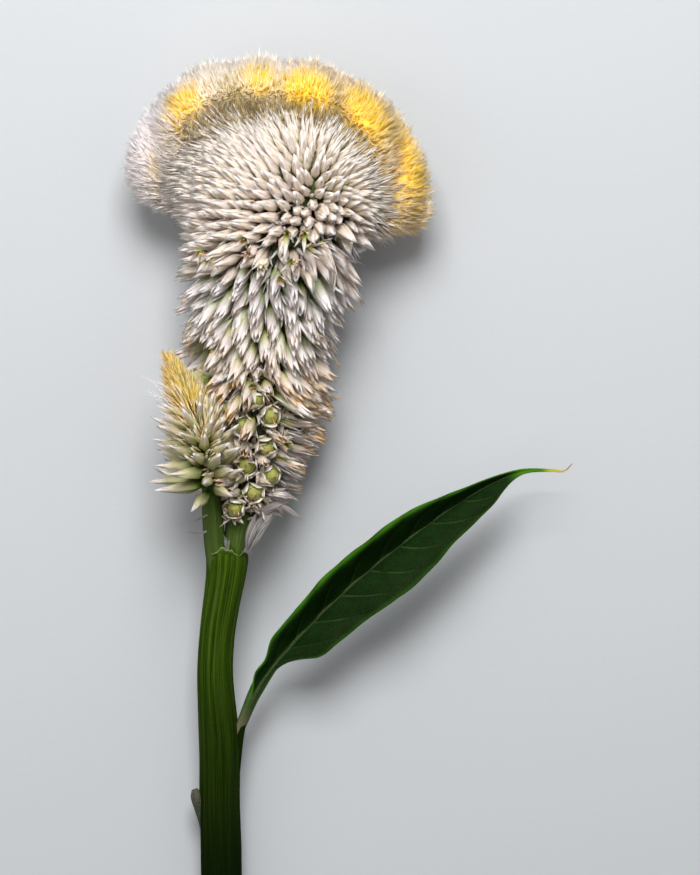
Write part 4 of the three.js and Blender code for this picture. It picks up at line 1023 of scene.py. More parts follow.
def comb_florets(name, low, high, tepals, stations, material, bud=BUD, blade=TEPAL):
    """All florets with heights from low to high as one piece. Gives their places, aims, lengths, heights and
    how far each is one of the slender lances low on the right."""
    chosen = (place_heights >= low) & (place_heights < high) & ~young
    heights, angles = place_heights[chosen], place_angles[chosen]
    place, up, turn, outward, across = comb_frame(heights, angles)
    length, radius, opening = along_rows(FLORET, heights)[:3]
    spear = spear_share(heights, angles)
    lance = (1 - smoothstep(16, 26, heights)) * smoothstep(0.1, 0.5, np.cos(angles))
    length = length * (1 + LENGTH_VARIES * draw.normal(size=len(heights)).clip(-2, 2))
    length = length * (1 + SPEAR_LONGER * spear - LANCE_SHORTER * lance)
    radius = radius * (1 + SPEAR_WIDER * spear - LANCE_SLIMMER * lance)
    aim = combed(up, turn, outward, across, heights, angles)
    aim = off_floor(place, unit(aim + under_left(heights, angles)[:, None] * UNDER_LEFT_PULL), length)
    over = (from_capsules(place + aim * length[:, None]) < TIP_CLEAR) & (outward[:, 2] > 0.2)
    length = np.where(over, TIP_SHORT * length, length)
    clear = clear_of_neighbours(place, aim, length, outward)
    stands = draw.uniform(size=len(place)) > SPEARS_APART * spear
    stunted = clear & ~stands & (np.sin(angles) < 0.1)
    stunted_florets.append([value[stunted] for value in (place, aim, STUNTED * length, radius, heights)])
    keep = clear & stands
    place, aim, length, up, radius, opening, heights, across, lance = (
        value[keep] for value in (place, aim, length, up, radius, opening, heights, across, lance))
    bow = 0.05 * up + 0.04 * draw.normal(size=up.shape)
    petal_piece(
        name, florets(place - ROOT_DEPTH * aim, aim, bow, length + ROOT_DEPTH, radius, opening, tepals, stations,
                      bud, blade),
        material, "comb_florets", along_rows(RIPENESS, heights)[0],
        smoothstep(54, 62, heights) * (0.45 + 0.55 * smoothstep(4, 18, across)))
    return place, aim, length, heights, lance


stunted_florets = []
column = comb_florets(
    "comb_florets_column", 0, 45, 5, STATIONS_FINE, silver_petals, PARTED_BUD, PARTED_TEPAL)
dome = comb_florets("comb_florets_dome", 45, 66, 5, STATIONS, white_petals)
comb_florets("comb_florets_valley", 66, 73, 4, STATIONS_SMALL, valley_petals)
place, aim, length, radius, heights = (np.concatenate(parts) for parts in zip(*stunted_florets))
petal_piece(
    "comb_florets_stunted",
    florets(place - ROOT_DEPTH * aim, aim, 0, length + ROOT_DEPTH, radius, STUNTED_OPENING, 5, STATIONS,
            draw=np.random.default_rng(11)),
    silver_petals, "comb_florets", along_rows(RIPENESS, heights)[0])


# ---------------------------------------------------------------- crest tufts
# Along the rim the youngest florets are hair-fine: tufts of three soft needles, golden at the root and
# pinkish white at the point. In front the folded rim's tufts hang forwards as a fringe.

TUFT_LEAN_FRINGE = [
    (66.5, 54), (68.5, 46), (69.6, 0), (70.4, -42), (71.4, -60), (72.4, -56), (73.3, -24), (74.2, 20),
    (75.2, 46), (76.6, 50), (78.3, 54),
]
TUFT_LEAN = [(68, 54), (72, 55), (74, 55), (76, 54), (78.3, 54)]
TUFT_LENGTH, TUFT_WIDTH = 3.1, 0.32
OUTER_SHORTER = 0.16        # how much shorter the hairs are along the outline
SWIRL = 0.17                # how far whole locks of hair swing aside
LOCK_SWAY = 0.13             # how far a lock leans its own way
FLOSS_LENGTH, FLOSS_WIDTH = 3.0, 0.17
DOWN_LENGTH, DOWN_WIDTH = 2.2, 0.34
TUFT_LOBES = [  # across, how much longer the hairs are along the top
    (-40, 0.0), (-14, 0.0), (-9.3, 0.25), (-5.6, -0.16), (-0.8, 0.24), (4.4, -0.16), (7.4, 0.14),
    (13.2, -0.14), (18, 0.06), (41, 0.0),
]


def needles(place, aim, bow, length, width, stations=(0, 0.45), girth=(0.7, 1.0)):
    """Three-sided needles, bent by bow * t squared, as thick at each station t as girth says, and pointed.
    Gives points, faces and the share of the length at each point."""
    count, bands = len(place), len(stations)
    length, width = np.broadcast_to(length, count), np.broadcast_to(width, count)
    t = np.array(stations, float)
    p = unit(np.cross(aim, np.array([0.31, 0.17, 0.93])))
    q = np.cross(aim, p)
    turn = draw.uniform(0, TURN, (count, 1)) + TURN * np.arange(3) / 3
    ring = np.cos(turn)[..., None] * p[:, None] + np.sin(turn)[..., None] * q[:, None]
    half = 0.5 * width[:, None, None, None] * np.array(girth)[:, None, None]
    axis = place[:, None] + aim[:, None] * (length[:, None] * t)[..., None]
    axis = axis + (bow * length[:, None])[:, None] * (t * t)[:, None]
    body = axis[:, :, None] + half * ring[:, None]
    tip = place + (aim + bow) * length[:, None]
    points = np.concatenate([body.reshape(count, 3 * bands, 3), tip[:, None]], 1)
    points[..., 2] = np.maximum(points[..., 2], 0.3 * FLOOR_CLEAR)
    start = ((3 * bands + 1) * np.arange(count))[:, None, None]
    i = np.arange(3)
    follows = (i + 1) % 3
    first = 3 * np.arange(bands - 1)[:, None]
    quads = np.stack([first + i, first + follows, first + follows + 3, first + i + 3], -1).reshape(-1, 4)
    last = 3 * (bands - 1)
    threes = np.concatenate([[[0, 2, 1]], np.stack([last + i, last + follows, np.full(3, last + 3)], -1)])
    faces = [(start + quads).reshape(-1, 4), (start + threes).reshape(-1, 3)]
    return points.reshape(-1, 3), faces, np.tile(np.append(np.repeat(t, 3), 1.0), count)


def hair_piece(name, grown, material, slot, node, **values):
    """Needles as one piece, with one number for all of them, or one for each, under each name."""
    points, faces, share = grown
    values = {key: np.repeat(value, len(points) // np.size(value)) for key, value in values.items()}
    make_piece(name, points, faces, material, {"along": share, **values}, nodes=[node])


def tuft_hairs():
    """Soft hairs: the root's colour runs up the hair and fades to pinkish white, or to peach where it is
    warm. Yellow where the rim is young, tan and cream elsewhere, painted brown shade under the rim and in its
    folds."""
    made, tree, shader = matter(
        "tuft_hairs", 0.55, specular_ior_level=0.3, subsurface_weight=0.3, subsurface_scale=0.0008,
        subsurface_radius=(1.0, 0.8, 0.4))
    along, tone, youth, cool, warm, outer, shade = (
        number(tree, name) for name in ("along", "tone", "youth", "cool", "warm", "outer", "shade"))
    root = mixed(tree, cool, (0.46, 0.35, 0.10, 1), (0.52, 0.44, 0.35, 1))
    root = mixed(tree, youth, root, (0.92, 0.54, 0.003, 1))
    root = mixed(tree, times(tree, outer, 0.6), root, (0.82, 0.68, 0.48, 1))
    # painted shade: where shade is high, root, middle and tip are painted brown
    root = mixed(tree, shade, root, (0.22, 0.145, 0.022, 1))
    middle = mixed(tree, cool, (0.76, 0.60, 0.36, 1), (0.72, 0.63, 0.60, 1))
    middle = mixed(tree, times(tree, warm, 0.55), middle, (0.90, 0.60, 0.20, 1))
    edge = mixed(tree, cool, (0.99, 0.83, 0.60, 1), (0.94, 0.88, 0.88, 1))
    middle = mixed(tree, times(tree, outer, 0.85), middle, edge)
    middle = mixed(tree, youth, middle, (0.97, 0.585, 0.010, 1))
    middle = mixed(tree, shade, middle, (0.32, 0.21, 0.05, 1))
    pale = mixed(tree, tone, (0.93, 0.82, 0.71, 1), (0.93, 0.85, 0.84, 1))
    silver = mixed(tree, tone, (0.78, 0.70, 0.71, 1), (0.97, 0.90, 0.92, 1))
    tip = mixed(tree, cool, pale, silver)
    tip = mixed(tree, times(tree, warm, eased(tree, tone, 0.1, 0.8)), tip, (0.95, 0.64, 0.30, 1))
    tip = mixed(tree, times(tree, shade, 0.9), tip, (0.46, 0.32, 0.12, 1))
    colour = mixed(tree, eased(tree, along, 0.0, 0.5), root, middle)
    faded = maths(tree, "ADD", along, times(tree, maths(tree, "SUBTRACT", tone, 0.5), 0.5))
    faded = maths(tree, "SUBTRACT", faded, times(tree, youth, 0.34))
    finish_with(tree, shader, mixed(tree, eased(tree, faded, 0.42, 0.95), colour, tip))
    return made


def crest_hairs(name, to_each, length, width, stations, girth, spread):
    """Needles on the rim, so many to each lock, which stands at a floret's place and sways as one. Their
    lean, from the normal towards growing height, follows TUFT_LEAN, and in front between the lobes
    TUFT_LEAN_FRINGE."""
    heights, angles = np.repeat(place_heights[young], to_each), np.repeat(place_angles[young], to_each)
    heights = np.minimum(heights + draw.uniform(-0.2, 0.2, len(heights)), HEAD_TOP - 0.1)
    angles = angles + draw.uniform(-0.2, 0.2, len(angles)) / 30
    sway = LOCK_SWAY * np.repeat(lock_sway, to_each, 0)
    place, up, turn, outward, across = comb_frame(heights, angles, 0.3)
    fringe = between_lobes(across) * smoothstep(0, 0.25, np.sin(angles))
    lean, fringe_lean = along_rows(TUFT_LEAN, heights)[0], along_rows(TUFT_LEAN_FRINGE, heights)[0]
    lean = np.radians(lean * (1 - fringe) + fringe_lean * fringe)[:, None]
    swirl = SWIRL * np.sin(1.1 * across + 0.9 * heights) + 0.5 * SWIRL * np.sin(2.3 * across - 1.7 * heights)
    stray = sway + spread * draw.normal(size=place.shape)
    aim = unit(np.cos(lean) * outward + np.sin(lean) * up + swirl[:, None] * turn + stray)
    lobed = 1 + along_rows(TUFT_LOBES, across)[0] * smoothstep(74, 77, heights)
    length = length * lobed * np.repeat(lock_length, to_each)
    length = length * (1 - OUTER_SHORTER * smoothstep(75.5, 77.5, heights))
    length = length * draw.uniform(0.85, 1.05, len(place))
    width = width * draw.uniform(0.75, 1.2, len(place))
    bow = 0.08 * draw.normal(size=place.shape)
    grown = needles(place - 0.3 * aim, aim, bow, length, width, stations, girth)
    yellow = patch_share(YELLOW_PATCHES, across, heights, angles)
    in_front = smoothstep(0, 0.3, np.sin(angles))
    youth = smoothstep(0.06, 0.8, yellow) * (1 - 0.5 * smoothstep(76.2, 78.4, heights))
    youth = youth * draw.uniform(0.75, 1.1, len(place))
    # painted shade: brown in the folds between the yellow patches, and in a band under the rolled rim in front,
    # where the fringe hangs
    brown = patch_share(PAINTED_SHADE_PATCHES, across, heights, angles)
    band = smoothstep(68.3, 69.3, heights) * (1 - smoothstep(72.4, 74.6, heights)) * in_front
    shade = np.maximum(band * (0.15 + 0.85 * fringe), brown) * (1 - 0.8 * youth)
    hair_piece(
        name, grown, hair_matter, "yellow_florets", "comb_crest", tone=draw.uniform(0, 1, len(place)),
        youth=youth.clip(0, 1), shade=shade.clip(0, 1), outer=smoothstep(75.4, 77.4, heights),
        warm=smoothstep(-4, 14, across) * 0.8 + 0.15, cool=1 - smoothstep(-21, -10, across))


hair_matter = tuft_hairs()
lock_sway = draw.normal(size=(young.sum(), 3))
lock_length = draw.uniform(0.72, 1.18, young.sum())
crest_hairs("comb_crest_tufts", 3, TUFT_LENGTH, TUFT_WIDTH, (0, 0.45), (1.0, 0.8), 0.05)
crest_hairs("comb_crest_floss", 4, FLOSS_LENGTH, FLOSS_WIDTH, (0,), (1.0,), 0.07)
crest_hairs("comb_crest_down", 5, DOWN_LENGTH, DOWN_WIDTH, (0,), (1.0,), 0.07)


# ---------------------------------------------------------------- bracts and styles
# Between the column's florets stand slender silvery bracts, dry and thin as paper. From the ripe florets
# stick out their styles, yellow-green threads with pink or orange points.

BRACT_SHARE, BRACT_RADIUS, BRACT_OPENING, BRACT_STATIONS = 0.7, 0.42, 0.02, (0, 0.35, 0.72)
BRACTS_PER_FLORET, BRACTS_PER_LANCE, BRACTS_UP_TO = 2, 5, 58
STYLE_LENGTH, STYLE_WIDTH = 1.3, 0.22
THREAD_STATIONS = (0, 0.5, 0.86)


def dry_paper(name, dull, bright, fibre, clearness=0.0):
    """Two tones with fibres of a third colour, and see-through between its fibres by its clearness."""
    made, tree, shader = matter(name, 0.45, subsurface_weight=0.2, subsurface_scale=0.0006)
    streak = streak_of(tree, 7, 1.1)
    colour = mixed(tree, number(tree, "tone"), dull, bright)
    colour = mixed(tree, times(tree, streak, 0.5), colour, fibre)
    finish_with(tree, shader, colour, streak, 0.0001)
    if clearness:
        clear = times(tree, streak_of(tree, 12, 0.9), clearness)
        tree.links.new(rest_of(tree, clear), shader.inputs["Alpha"])
    return made


def style_threads():
    """Yellow-green thread that ends pink or orange-brown."""
    made, tree, shader = matter("style_threads", 0.45)
    point = mixed(tree, number(tree, "tone"), (0.58, 0.28, 0.24, 1), (0.80, 0.42, 0.06, 1))
    colour = mixed(tree, eased(tree, number(tree, "along"), 0.3, 0.7), (0.52, 0.46, 0.06, 1), point)
    finish_with(tree, shader, colour)
    return made


silver_paper = dry_paper(
    "silver_paper", dull=(0.68, 0.61, 0.60, 1), bright=(0.88, 0.81, 0.80, 1), fibre=(0.48, 0.41, 0.38, 1))
styles = style_threads()
place, aim, length, heights, lance = (np.concatenate(pair) for pair in zip(column, dome))
bracts = np.round(BRACTS_PER_FLORET + (BRACTS_PER_LANCE - BRACTS_PER_FLORET) * lance).astype(int)
bracts[heights > BRACTS_UP_TO] = 0
place, aim, length, lance = (np.repeat(value, bracts, 0) for value in (place, aim, length, lance))
around = unit(np.cross(aim, draw.normal(size=aim.shape)))
bract_length = (BRACT_SHARE + 0.15 * lance) * length * draw.uniform(0.7, 1.25, len(place))
root = place + (0.14 * length)[:, None] * around
aim = off_floor(root, unit(aim + (0.28 - 0.16 * lance)[:, None] * around), bract_length)
points, faces, values, fibre, margins = florets(
    root, aim, 0.1 * around, bract_length, BRACT_RADIUS, BRACT_OPENING, 1, BRACT_STATIONS)
make_piece(
    "comb_bracts", points, faces, silver_paper, values, fibre, margins, ["comb_florets"])

place, aim, length, heights, _ = column
ripe = draw.uniform(size=len(place)) < 0.62 * along_rows(RIPENESS, heights)[0] + 0.12
place, aim, length = place[ripe], aim[ripe], length[ripe]
aim = unit(aim + 0.16 * draw.normal(size=aim.shape))
style_length = STYLE_LENGTH * draw.uniform(0.8, 1.3, len(place))
aim = off_floor(place + aim * length[:, None] * 0.8, aim, style_length)
hair_piece(
    "comb_styles",
    needles(place + aim * (0.82 * length)[:, None], aim, 0.15 * draw.normal(size=aim.shape), style_length,
            STYLE_WIDTH, THREAD_STATIONS, (0.8, 0.8, 1.5)),
    styles, "yellow_florets", "comb_florets", tone=draw.uniform(0, 1, len(place)))


# ---------------------------------------------------------------- open florets
# A few florets on the column have opened and withered: five narrow tepals spread into a star, with short
# pinkish threads in the middle.

OPEN_PLACES = [
    (6.1, 116.1), (1.2, 114.9), (2.2, 113.4), (6.4, 114.0), (7.6, 112.2), (9.4, 110.5), (11.1, 113.4),
    (12.6, 115.6), (5.9, 91.8), (12.6, 117.4), (14.5, 116.6), (10.7, 117.0),
]
OPEN_PROUD, OPEN_LENGTH, OPEN_RADIUS = 5.0, 3.0, 0.55
OPEN_BLADE = [(0, 0.4), (0.3, 0.62), (0.6, 0.55), (0.85, 0.3), (1, 0.0)]
OPEN_THREADS = 5


def seats_at(places):
    """Where points given by x and y meet the comb's skin in front, the way out there and the way up."""
    x, y = np.array(places).T
    centre, _, left = along_rows(HEAD, y - NECK_Y)[:3]
    angle = np.arccos(np.clip((x - centre) / left, -1, 1))
    place, up, _, outward, _ = comb_frame(y - NECK_Y, angle)
    return place, outward, up


seats, outward, up = seats_at(OPEN_PLACES)
count = len(seats)
aim = unit(outward - 0.35 * up + 0.15 * draw.normal(size=seats.shape))
root = seats + OPEN_PROUD * outward
petal_piece(
    "comb_open_stars",
    florets(root, aim, 0, OPEN_LENGTH * draw.uniform(0.8, 1.15, count), OPEN_RADIUS,
            draw.uniform(0.35, 0.7, count), 5, (0, 0.25, 0.5, 0.75), BUD, OPEN_BLADE, 0.6),
    silver_petals, "comb_florets", ripe=0.35)
root, aim = np.repeat(root, OPEN_THREADS, 0), np.repeat(aim, OPEN_THREADS, 0)
count = len(root)
aim = unit(aim + 0.5 * draw.normal(size=aim.shape))
hair_piece(
    "comb_open_threads",
    needles(root, aim, 0.3 * draw.normal(size=aim.shape), draw.uniform(1.0, 1.9, count), 0.24, THREAD_STATIONS,
            (0.9, 0.8, 1.6)),
    styles, "yellow_florets", "comb_florets", tone=draw.uniform(0, 0.5, count))


# ---------------------------------------------------------------- chaff
# Withered tepals and bracts fill the hollows between the seed capsules: small tan and cream scales, curled
# every way, still fixed at their roots.

CHAFF, CHAFF_LENGTH, CHAFF_RADIUS = 440, 2.6, 0.6
CHAFF_HEIGHTS, CHAFF_TURN = (3.0, 29.0), (0.6, 2.5)
CHAFF_BLADE = [(0, 0.3), (0.3, 0.62), (0.6, 0.7), (0.85, 0.4), (1, 0.0)]

height, angle = draw.uniform(*CHAFF_HEIGHTS, CHAFF), draw.uniform(*CHAFF_TURN, CHAFF)
place, _, _, outward, _ = comb_frame(height, angle)
aim = unit(outward + 0.55 * draw.normal(size=place.shape))
length = CHAFF_LENGTH * draw.uniform(0.6, 1.4, CHAFF)
chaff_scales = floret_petals(
    "chaff_scales", body=(0.66, 0.57, 0.42, 1), blush=(0.72, 0.62, 0.52, 1), root=(0.14, 0.16, 0.02, 1),
    tip=(0.88, 0.80, 0.68, 1), ripe_tip=(0.46, 0.27, 0.12, 1), sap_and_shade_reach=0.5)
petal_piece(
    "comb_chaff",
    florets(place - 0.3 * aim, aim, 0.3 * draw.normal(size=place.shape), length, CHAFF_RADIUS,
            0.15 * draw.uniform(size=CHAFF), 2, (0, 0.3, 0.6, 0.85), BUD, CHAFF_BLADE, 0.5),
    chaff_scales, "comb_florets", ripe=0.5)


# ---------------------------------------------------------------- seed capsules
# Ripe capsules low on the head: green urns with a lid that comes off along a seam, a stub of the style on
# top. Each sits in its own star of five tepals, which have dried to pale, curled margins.

CAPSULE_RADIUS, CAPSULE_PROUD = 1.45, 0.75
CAPSULE_HEIGHT, CAPSULE_GIRTH, CAPSULE_SUNK = 2.35, 0.97, 1.15   # in capsule radii
CAPSULE = [  # share of its height, girth
    (0, 0.12), (0.06, 0.45), (0.2, 0.82), (0.42, 1.0), (0.62, 1.0), (0.70, 0.94), (0.735, 0.86), (0.75, 0.77),
    (0.765, 0.80), (0.80, 0.78), (0.87, 0.62), (0.93, 0.38), (0.96, 0.18), (1, 0.1),
]
LID_SEAM = 0.75
CAPSULE_OLIVE = (0.11, 0.135, 0.010, 1)
CAPSULE_LIME = (0.27, 0.28, 0.045, 1)
CAPSULE_DOTS = (0.42, 0.42, 0.13, 1)
CAPSULE_SEAM = (0.05, 0.06, 0.008, 1)
CAPSULE_STUB = (0.36, 0.16, 0.09, 1)
CUP_BUD = [(0, 0.45), (0.25, 0.9), (0.55, 1.0), (0.8, 1.0), (1, 0.9)]
CUP_BLADE = [(0, 0.4), (0.25, 0.62), (0.55, 0.66), (0.8, 0.5), (0.93, 0.25), (1, 0.0)]
CUP_RADIUS, CUP_LENGTH, CUP_STATIONS = 1.56, 2.8, (0, 0.25, 0.5, 0.72, 0.9)


def capsule_skin():
    """Juicy olive green, paler and yellower towards the lid, finely dotted, with a darker seam."""
    made, tree, shader = matter("capsule_skin", 0.34, subsurface_weight=0.2, subsurface_scale=0.001)
    along = number(tree, "along")
    dots = blotch_of(tree, 0.22)
    colour = mixed(tree, eased(tree, along, 0.3, 0.9), CAPSULE_OLIVE, CAPSULE_LIME)
    colour = mixed(tree, times(tree, dots, 0.35), colour, CAPSULE_DOTS)
    from_seam = maths(tree, "ABSOLUTE", maths(tree, "SUBTRACT", along, LID_SEAM))
    seam = rest_of(tree, eased(tree, from_seam, 0.005, 0.035))
    colour = mixed(tree, times(tree, seam, 0.75), colour, CAPSULE_SEAM)
    colour = mixed(tree, eased(tree, along, 0.955, 0.98), colour, CAPSULE_STUB)
    finish_with(tree, shader, colour, dots, 0.00008)
    return made


seats, outward, _ = seats_at([*CAPSULE_PLACES, STAR_PLACE])
facing = unit(outward + 0.14 * draw.normal(size=seats.shape))
lid_green = capsule_skin()
share, turn = np.linspace(0, 1, 26), once_round(28)[..., None]
for k in range(len(CAPSULE_PLACES)):
    axis = facing[k]
    p = unit(np.cross(axis, np.array([0.0, 1.0, 0.0])))
    q = np.cross(axis, p)
    girth = along_rows(CAPSULE, share)[0][:, None, None] * (1 + 0.025 * np.cos(5 * turn + k))
    foot = seats[k] + (CAPSULE_PROUD * CAPSULE_RADIUS - CAPSULE_SUNK * CAPSULE_RADIUS) * axis
    rings = (foot + CAPSULE_HEIGHT * CAPSULE_RADIUS * share[:, None, None] * axis
             + CAPSULE_RADIUS * CAPSULE_GIRTH * girth * (np.cos(turn) * p + np.sin(turn) * q))
    node = f"seed_capsule_{k + 1:02d}"
    tube_piece(node + "_urn", rings, lid_green, {"along": share[:, None]}, nodes=[node])

count = len(seats)
cup_petals = floret_petals(
    "cup_petals", body=(0.74, 0.68, 0.50, 1), blush=(0.84, 0.76, 0.66, 1), root=(0.20, 0.24, 0.03, 1),
    tip=(0.97, 0.92, 0.84, 1), ripe_tip=(0.60, 0.44, 0.28, 1), sap_and_shade_reach=0.4)
petal_piece(
    "capsule_stars",
    florets(seats - 0.35 * facing, facing, 0, CUP_LENGTH * draw.uniform(0.9, 1.15, count), CUP_RADIUS,
            draw.uniform(-0.02, 0.14, count), 5, CUP_STATIONS, CUP_BUD, CUP_BLADE, 0.85),
    cup_petals, "comb_florets", ripe=0.15)
root = seats + (CAPSULE_PROUD + 1.1) * CAPSULE_RADIUS * facing
aim = unit(facing + 0.75 * draw.normal(size=(count, 3)) * np.array([1.0, 0.7, 0.3]))
hair_piece(
    "capsule_styles",
    needles(root, aim, 0.25 * draw.normal(size=(count, 3)), draw.uniform(0.8, 1.7, count), STYLE_WIDTH,
            THREAD_STATIONS, (1.0, 0.7, 1.2)),
    styles, "yellow_florets", "comb_florets", tone=draw.uniform(0, 1, count))


# ---------------------------------------------------------------- side spike
# A small second flower on its own stalk, grown from the same stem. Plump buds stand round its green axis in a
# spiral, more upright towards the tip, which is a cone of young yellow florets.

SPIKE = [  # share of the axis, skin radius, bud length, bud radius, opening, lean to the tip, spacing
    (0, 1.3, 9.2, 1.05, 0.0, -2, 1.6), (0.3, 1.3, 9.8, 1.08, 0.0, 2, 1.6),
    (0.42, 1.3, 9.4, 1.05, 0.0, 10, 1.55), (0.56, 1.2, 8.0, 0.88, 0.01, 23, 1.35),
    (0.66, 1.1, 6.6, 0.66, 0.02, 38, 1.1), (0.75, 0.95, 5.0, 0.44, 0.02, 58, 0.85),
    (0.85, 0.75, 4.0, 0.34, 0.02, 70, 0.65), (1, 0.3, 2.6, 0.26, 0.02, 84, 0.5),
]
SPIKE_BUD = [(0, 0.42), (0.14, 0.85), (0.28, 1.0), (0.45, 0.9), (0.65, 0.6), (0.82, 0.3), (1, 0.03)]
SPIKE_FROM, SPIKE_GOLD_FROM = 0.31, 0.70
SPIKE_LENGTH = 33.0
GOLDEN_ANGLE = 2.399963
SHOOT_AXIS = [(-2.6, 78.0, 16.6), (-2.2, 82.0, 18.6), (-1.4, 86.5, 19.2)]
SHOOT = [(0, 0.9, 5.0, 0.55, 0.04, 34, 1), (0.6, 0.9, 4.8, 0.5, 0.04, 50, 1), (1, 0.3, 4.0, 0.38, 0.04, 78, 1)]
SHOOT_FLORETS = 84
SPIKE_HAIRS = 1100
SPIKE_HAIR = [(0.5, 28, 6.0), (0.7, 50, 4.6), (0.85, 70, 3.4), (1.0, 84, 2.4)]   # share, lean, length
FILAMENTS, FILAMENT_LENGTH = 60, 4.6
STALK_RIBS, STALK_PALE = 7, 0.07
SPIKE_STALK = [(-0.1, 57.0, 10.2), (-0.6, 61.5, 11.3), *SPIKE_AXIS]
SPIKE_STALK_GIRTH = [
    (0, 1.3), (0.15, 1.65), (0.32, 1.8), (0.42, 1.55), (0.54, 1.15), (0.75, 0.85), (0.93, 0.45), (1, 0.2)]
NECK_STALK = [(1.4, 57.0, 10.2), (2.2, 62.5, 11.2), (2.8, 66.5, 11.5), (3.7, 70.5, 11.5)]
NECK_STALK_GIRTH = [(0, 1.5), (0.4, 2.0), (0.75, 2.15), (1, 2.8)]


def spike_places():
    """Shares and turns of the buds: as many to a stretch as its skin's area over the spacing squared, each a
    golden angle on from the last."""
    share = np.linspace(SPIKE_FROM, 0.995, 400)
    radius, *_, spacing = along_rows(SPIKE, share)
    crowd = np.cumsum(TURN * np.maximum(radius, 0.5) / (ROW_PITCH * spacing**2))
    crowd = crowd * SPIKE_LENGTH * (share[1] - share[0])
    wanted = np.arange(int(crowd[-1])) + 0.5
    return np.interp(wanted, crowd, share), wanted * GOLDEN_ANGLE


def round_axis(route, share, turn, radius):
    """A point so far from a path, at a turn round it, with the way out and the way along."""
    step = 0.01
    centre = smooth_path(route, share)
    ahead, behind = np.minimum(share + step, 1), np.maximum(share - step, 0)
    along = unit(smooth_path(route, ahead) - smooth_path(route, behind))
    level = unit(np.cross(FORWARDS, along))
    out = np.cos(turn)[:, None] * level + np.sin(turn)[:, None] * np.cross(along, level)
    return centre + radius[:, None] * out, out, along


def spike_florets(name, route, share, turn, rows, tepals, stations, material, node, amber):
    """Buds round a path. Those that face the comb are shorter and rise in front of it. On the left they ripen
    by amber."""
    radius, length, girth, opening, lean, _ = along_rows(rows, share)
    place, out, along = round_axis(route, share, turn, 0.85 * radius)
    lean = np.radians(lean + draw.normal(0, 5, len(share)))[:, None]
    aim = unit(np.cos(lean) * out + np.sin(lean) * along + 0.06 * draw.normal(size=out.shape))
    towards_comb = np.maximum(out @ np.array([1.0, 0.0, -0.3]), 0) * (1 - smoothstep(0.6, 0.8, share))
    aim = unit(aim + 0.7 * towards_comb[:, None] * FORWARDS)
    length = length * (1 - 0.22 * towards_comb) * draw.uniform(0.85, 1.08, len(share))
    bow = 0.10 * along + 0.03 * draw.normal(size=out.shape)
    girth = girth * draw.uniform(0.88, 1.08, len(share))
    petal_piece(
        name, florets(place, aim, bow, length, girth, opening, tepals, stations, SPIKE_BUD),
        material, node,
        ripe=0.2 * draw.uniform(0, 1, len(place)) + amber * smoothstep(-0.2, 0.9, -out[:, 0]))


spike_share, spike_turn = spike_places()
bud_petals = floret_petals(
    "bud_petals", body=(0.66, 0.59, 0.29, 1), blush=(0.63, 0.54, 0.32, 1), root=(0.10, 0.19, 0.004, 1),
    tip=(0.98, 0.90, 0.86, 1), ripe_tip=(0.66, 0.45, 0.22, 1), sap_and_shade_reach=0.75)
cream_petals = floret_petals(
    "cream_petals", body=(0.86, 0.74, 0.34, 1), blush=(0.86, 0.72, 0.48, 1), root=(0.44, 0.46, 0.04, 1),
    tip=(0.95, 0.86, 0.70, 1), ripe_tip=(0.70, 0.45, 0.16, 1), sap_and_shade_reach=0.6)
gold_petals = floret_petals(
    "gold_petals", body=(0.82, 0.68, 0.03, 1), blush=(0.84, 0.64, 0.10, 1), root=(0.46, 0.48, 0.01, 1),
    tip=(0.92, 0.76, 0.44, 1), ripe_tip=(0.84, 0.40, 0.03, 1), sap_and_shade_reach=0.4)
low_part = spike_share < SPIKE_GOLD_FROM
spike_florets(
    "side_spike_buds", SPIKE_AXIS, spike_share[low_part], spike_turn[low_part], SPIKE, 5, STATIONS_FINE,
    bud_petals, "side_spike", 0.0)
spike_florets(
    "side_spike_cone", SPIKE_AXIS, spike_share[~low_part], spike_turn[~low_part], SPIKE, 4, STATIONS,
    gold_petals, "side_spike_tip", 1.0)
order = np.arange(SHOOT_FLORETS)
spike_florets(
    "side_shoot_buds", SHOOT_AXIS, (order + 0.5) / SHOOT_FLORETS, GOLDEN_ANGLE * order, SHOOT, 4, STATIONS,
    cream_petals, "side_spike", 0.0)

hair_share = draw.uniform(SPIKE_GOLD_FROM - 0.16, 1.0, SPIKE_HAIRS)
radius = along_rows(SPIKE, hair_share)[0]
place, out, along = round_axis(SPIKE_AXIS, hair_share, draw.uniform(0, TURN, SPIKE_HAIRS), radius)
shares, leans, lengths = zip(*SPIKE_HAIR)
lean = np.radians(np.interp(hair_share, shares, leans))[:, None]
aim = unit(np.cos(lean) * out + np.sin(lean) * along + 0.12 * draw.normal(size=out.shape))
length = draw.uniform(0.8, 1.2, SPIKE_HAIRS) * np.interp(hair_share, shares, lengths)
hair_piece(
    "side_spike_hairs", needles(place, aim, 0.15 * draw.normal(size=out.shape), length, 0.15), hair_matter,
    "yellow_florets", "side_spike_tip", tone=draw.uniform(0, 1, SPIKE_HAIRS),
    youth=smoothstep(0.58, 0.78, hair_share) * draw.uniform(0.4, 1.0, SPIKE_HAIRS),
    shade=0.15, warm=0.9, cool=0, outer=0)

filament_share = draw.uniform(0.42, 0.86, FILAMENTS)
radius = along_rows(SPIKE, filament_share)[0]
turn = draw.uniform(-0.35, 0.4, FILAMENTS) * np.pi
place, out, along = round_axis(SPIKE_AXIS, filament_share, turn, radius)
aim = unit(out + 0.55 * along + 0.2 * draw.normal(size=out.shape))
bow = 0.5 * along + 0.15 * draw.normal(size=out.shape)
length = FILAMENT_LENGTH * draw.uniform(0.7, 1.2, FILAMENTS)
hair_piece(
    "side_spike_filaments",
    needles(place, aim, bow, length, 0.34, (0, 0.25, 0.5, 0.75, 0.9), (1.2, 1.0, 0.8, 0.6, 0.35)), hair_matter,
    "white_florets", "side_spike", tone=0.8, youth=0, shade=0, warm=0, cool=0.3, outer=0)


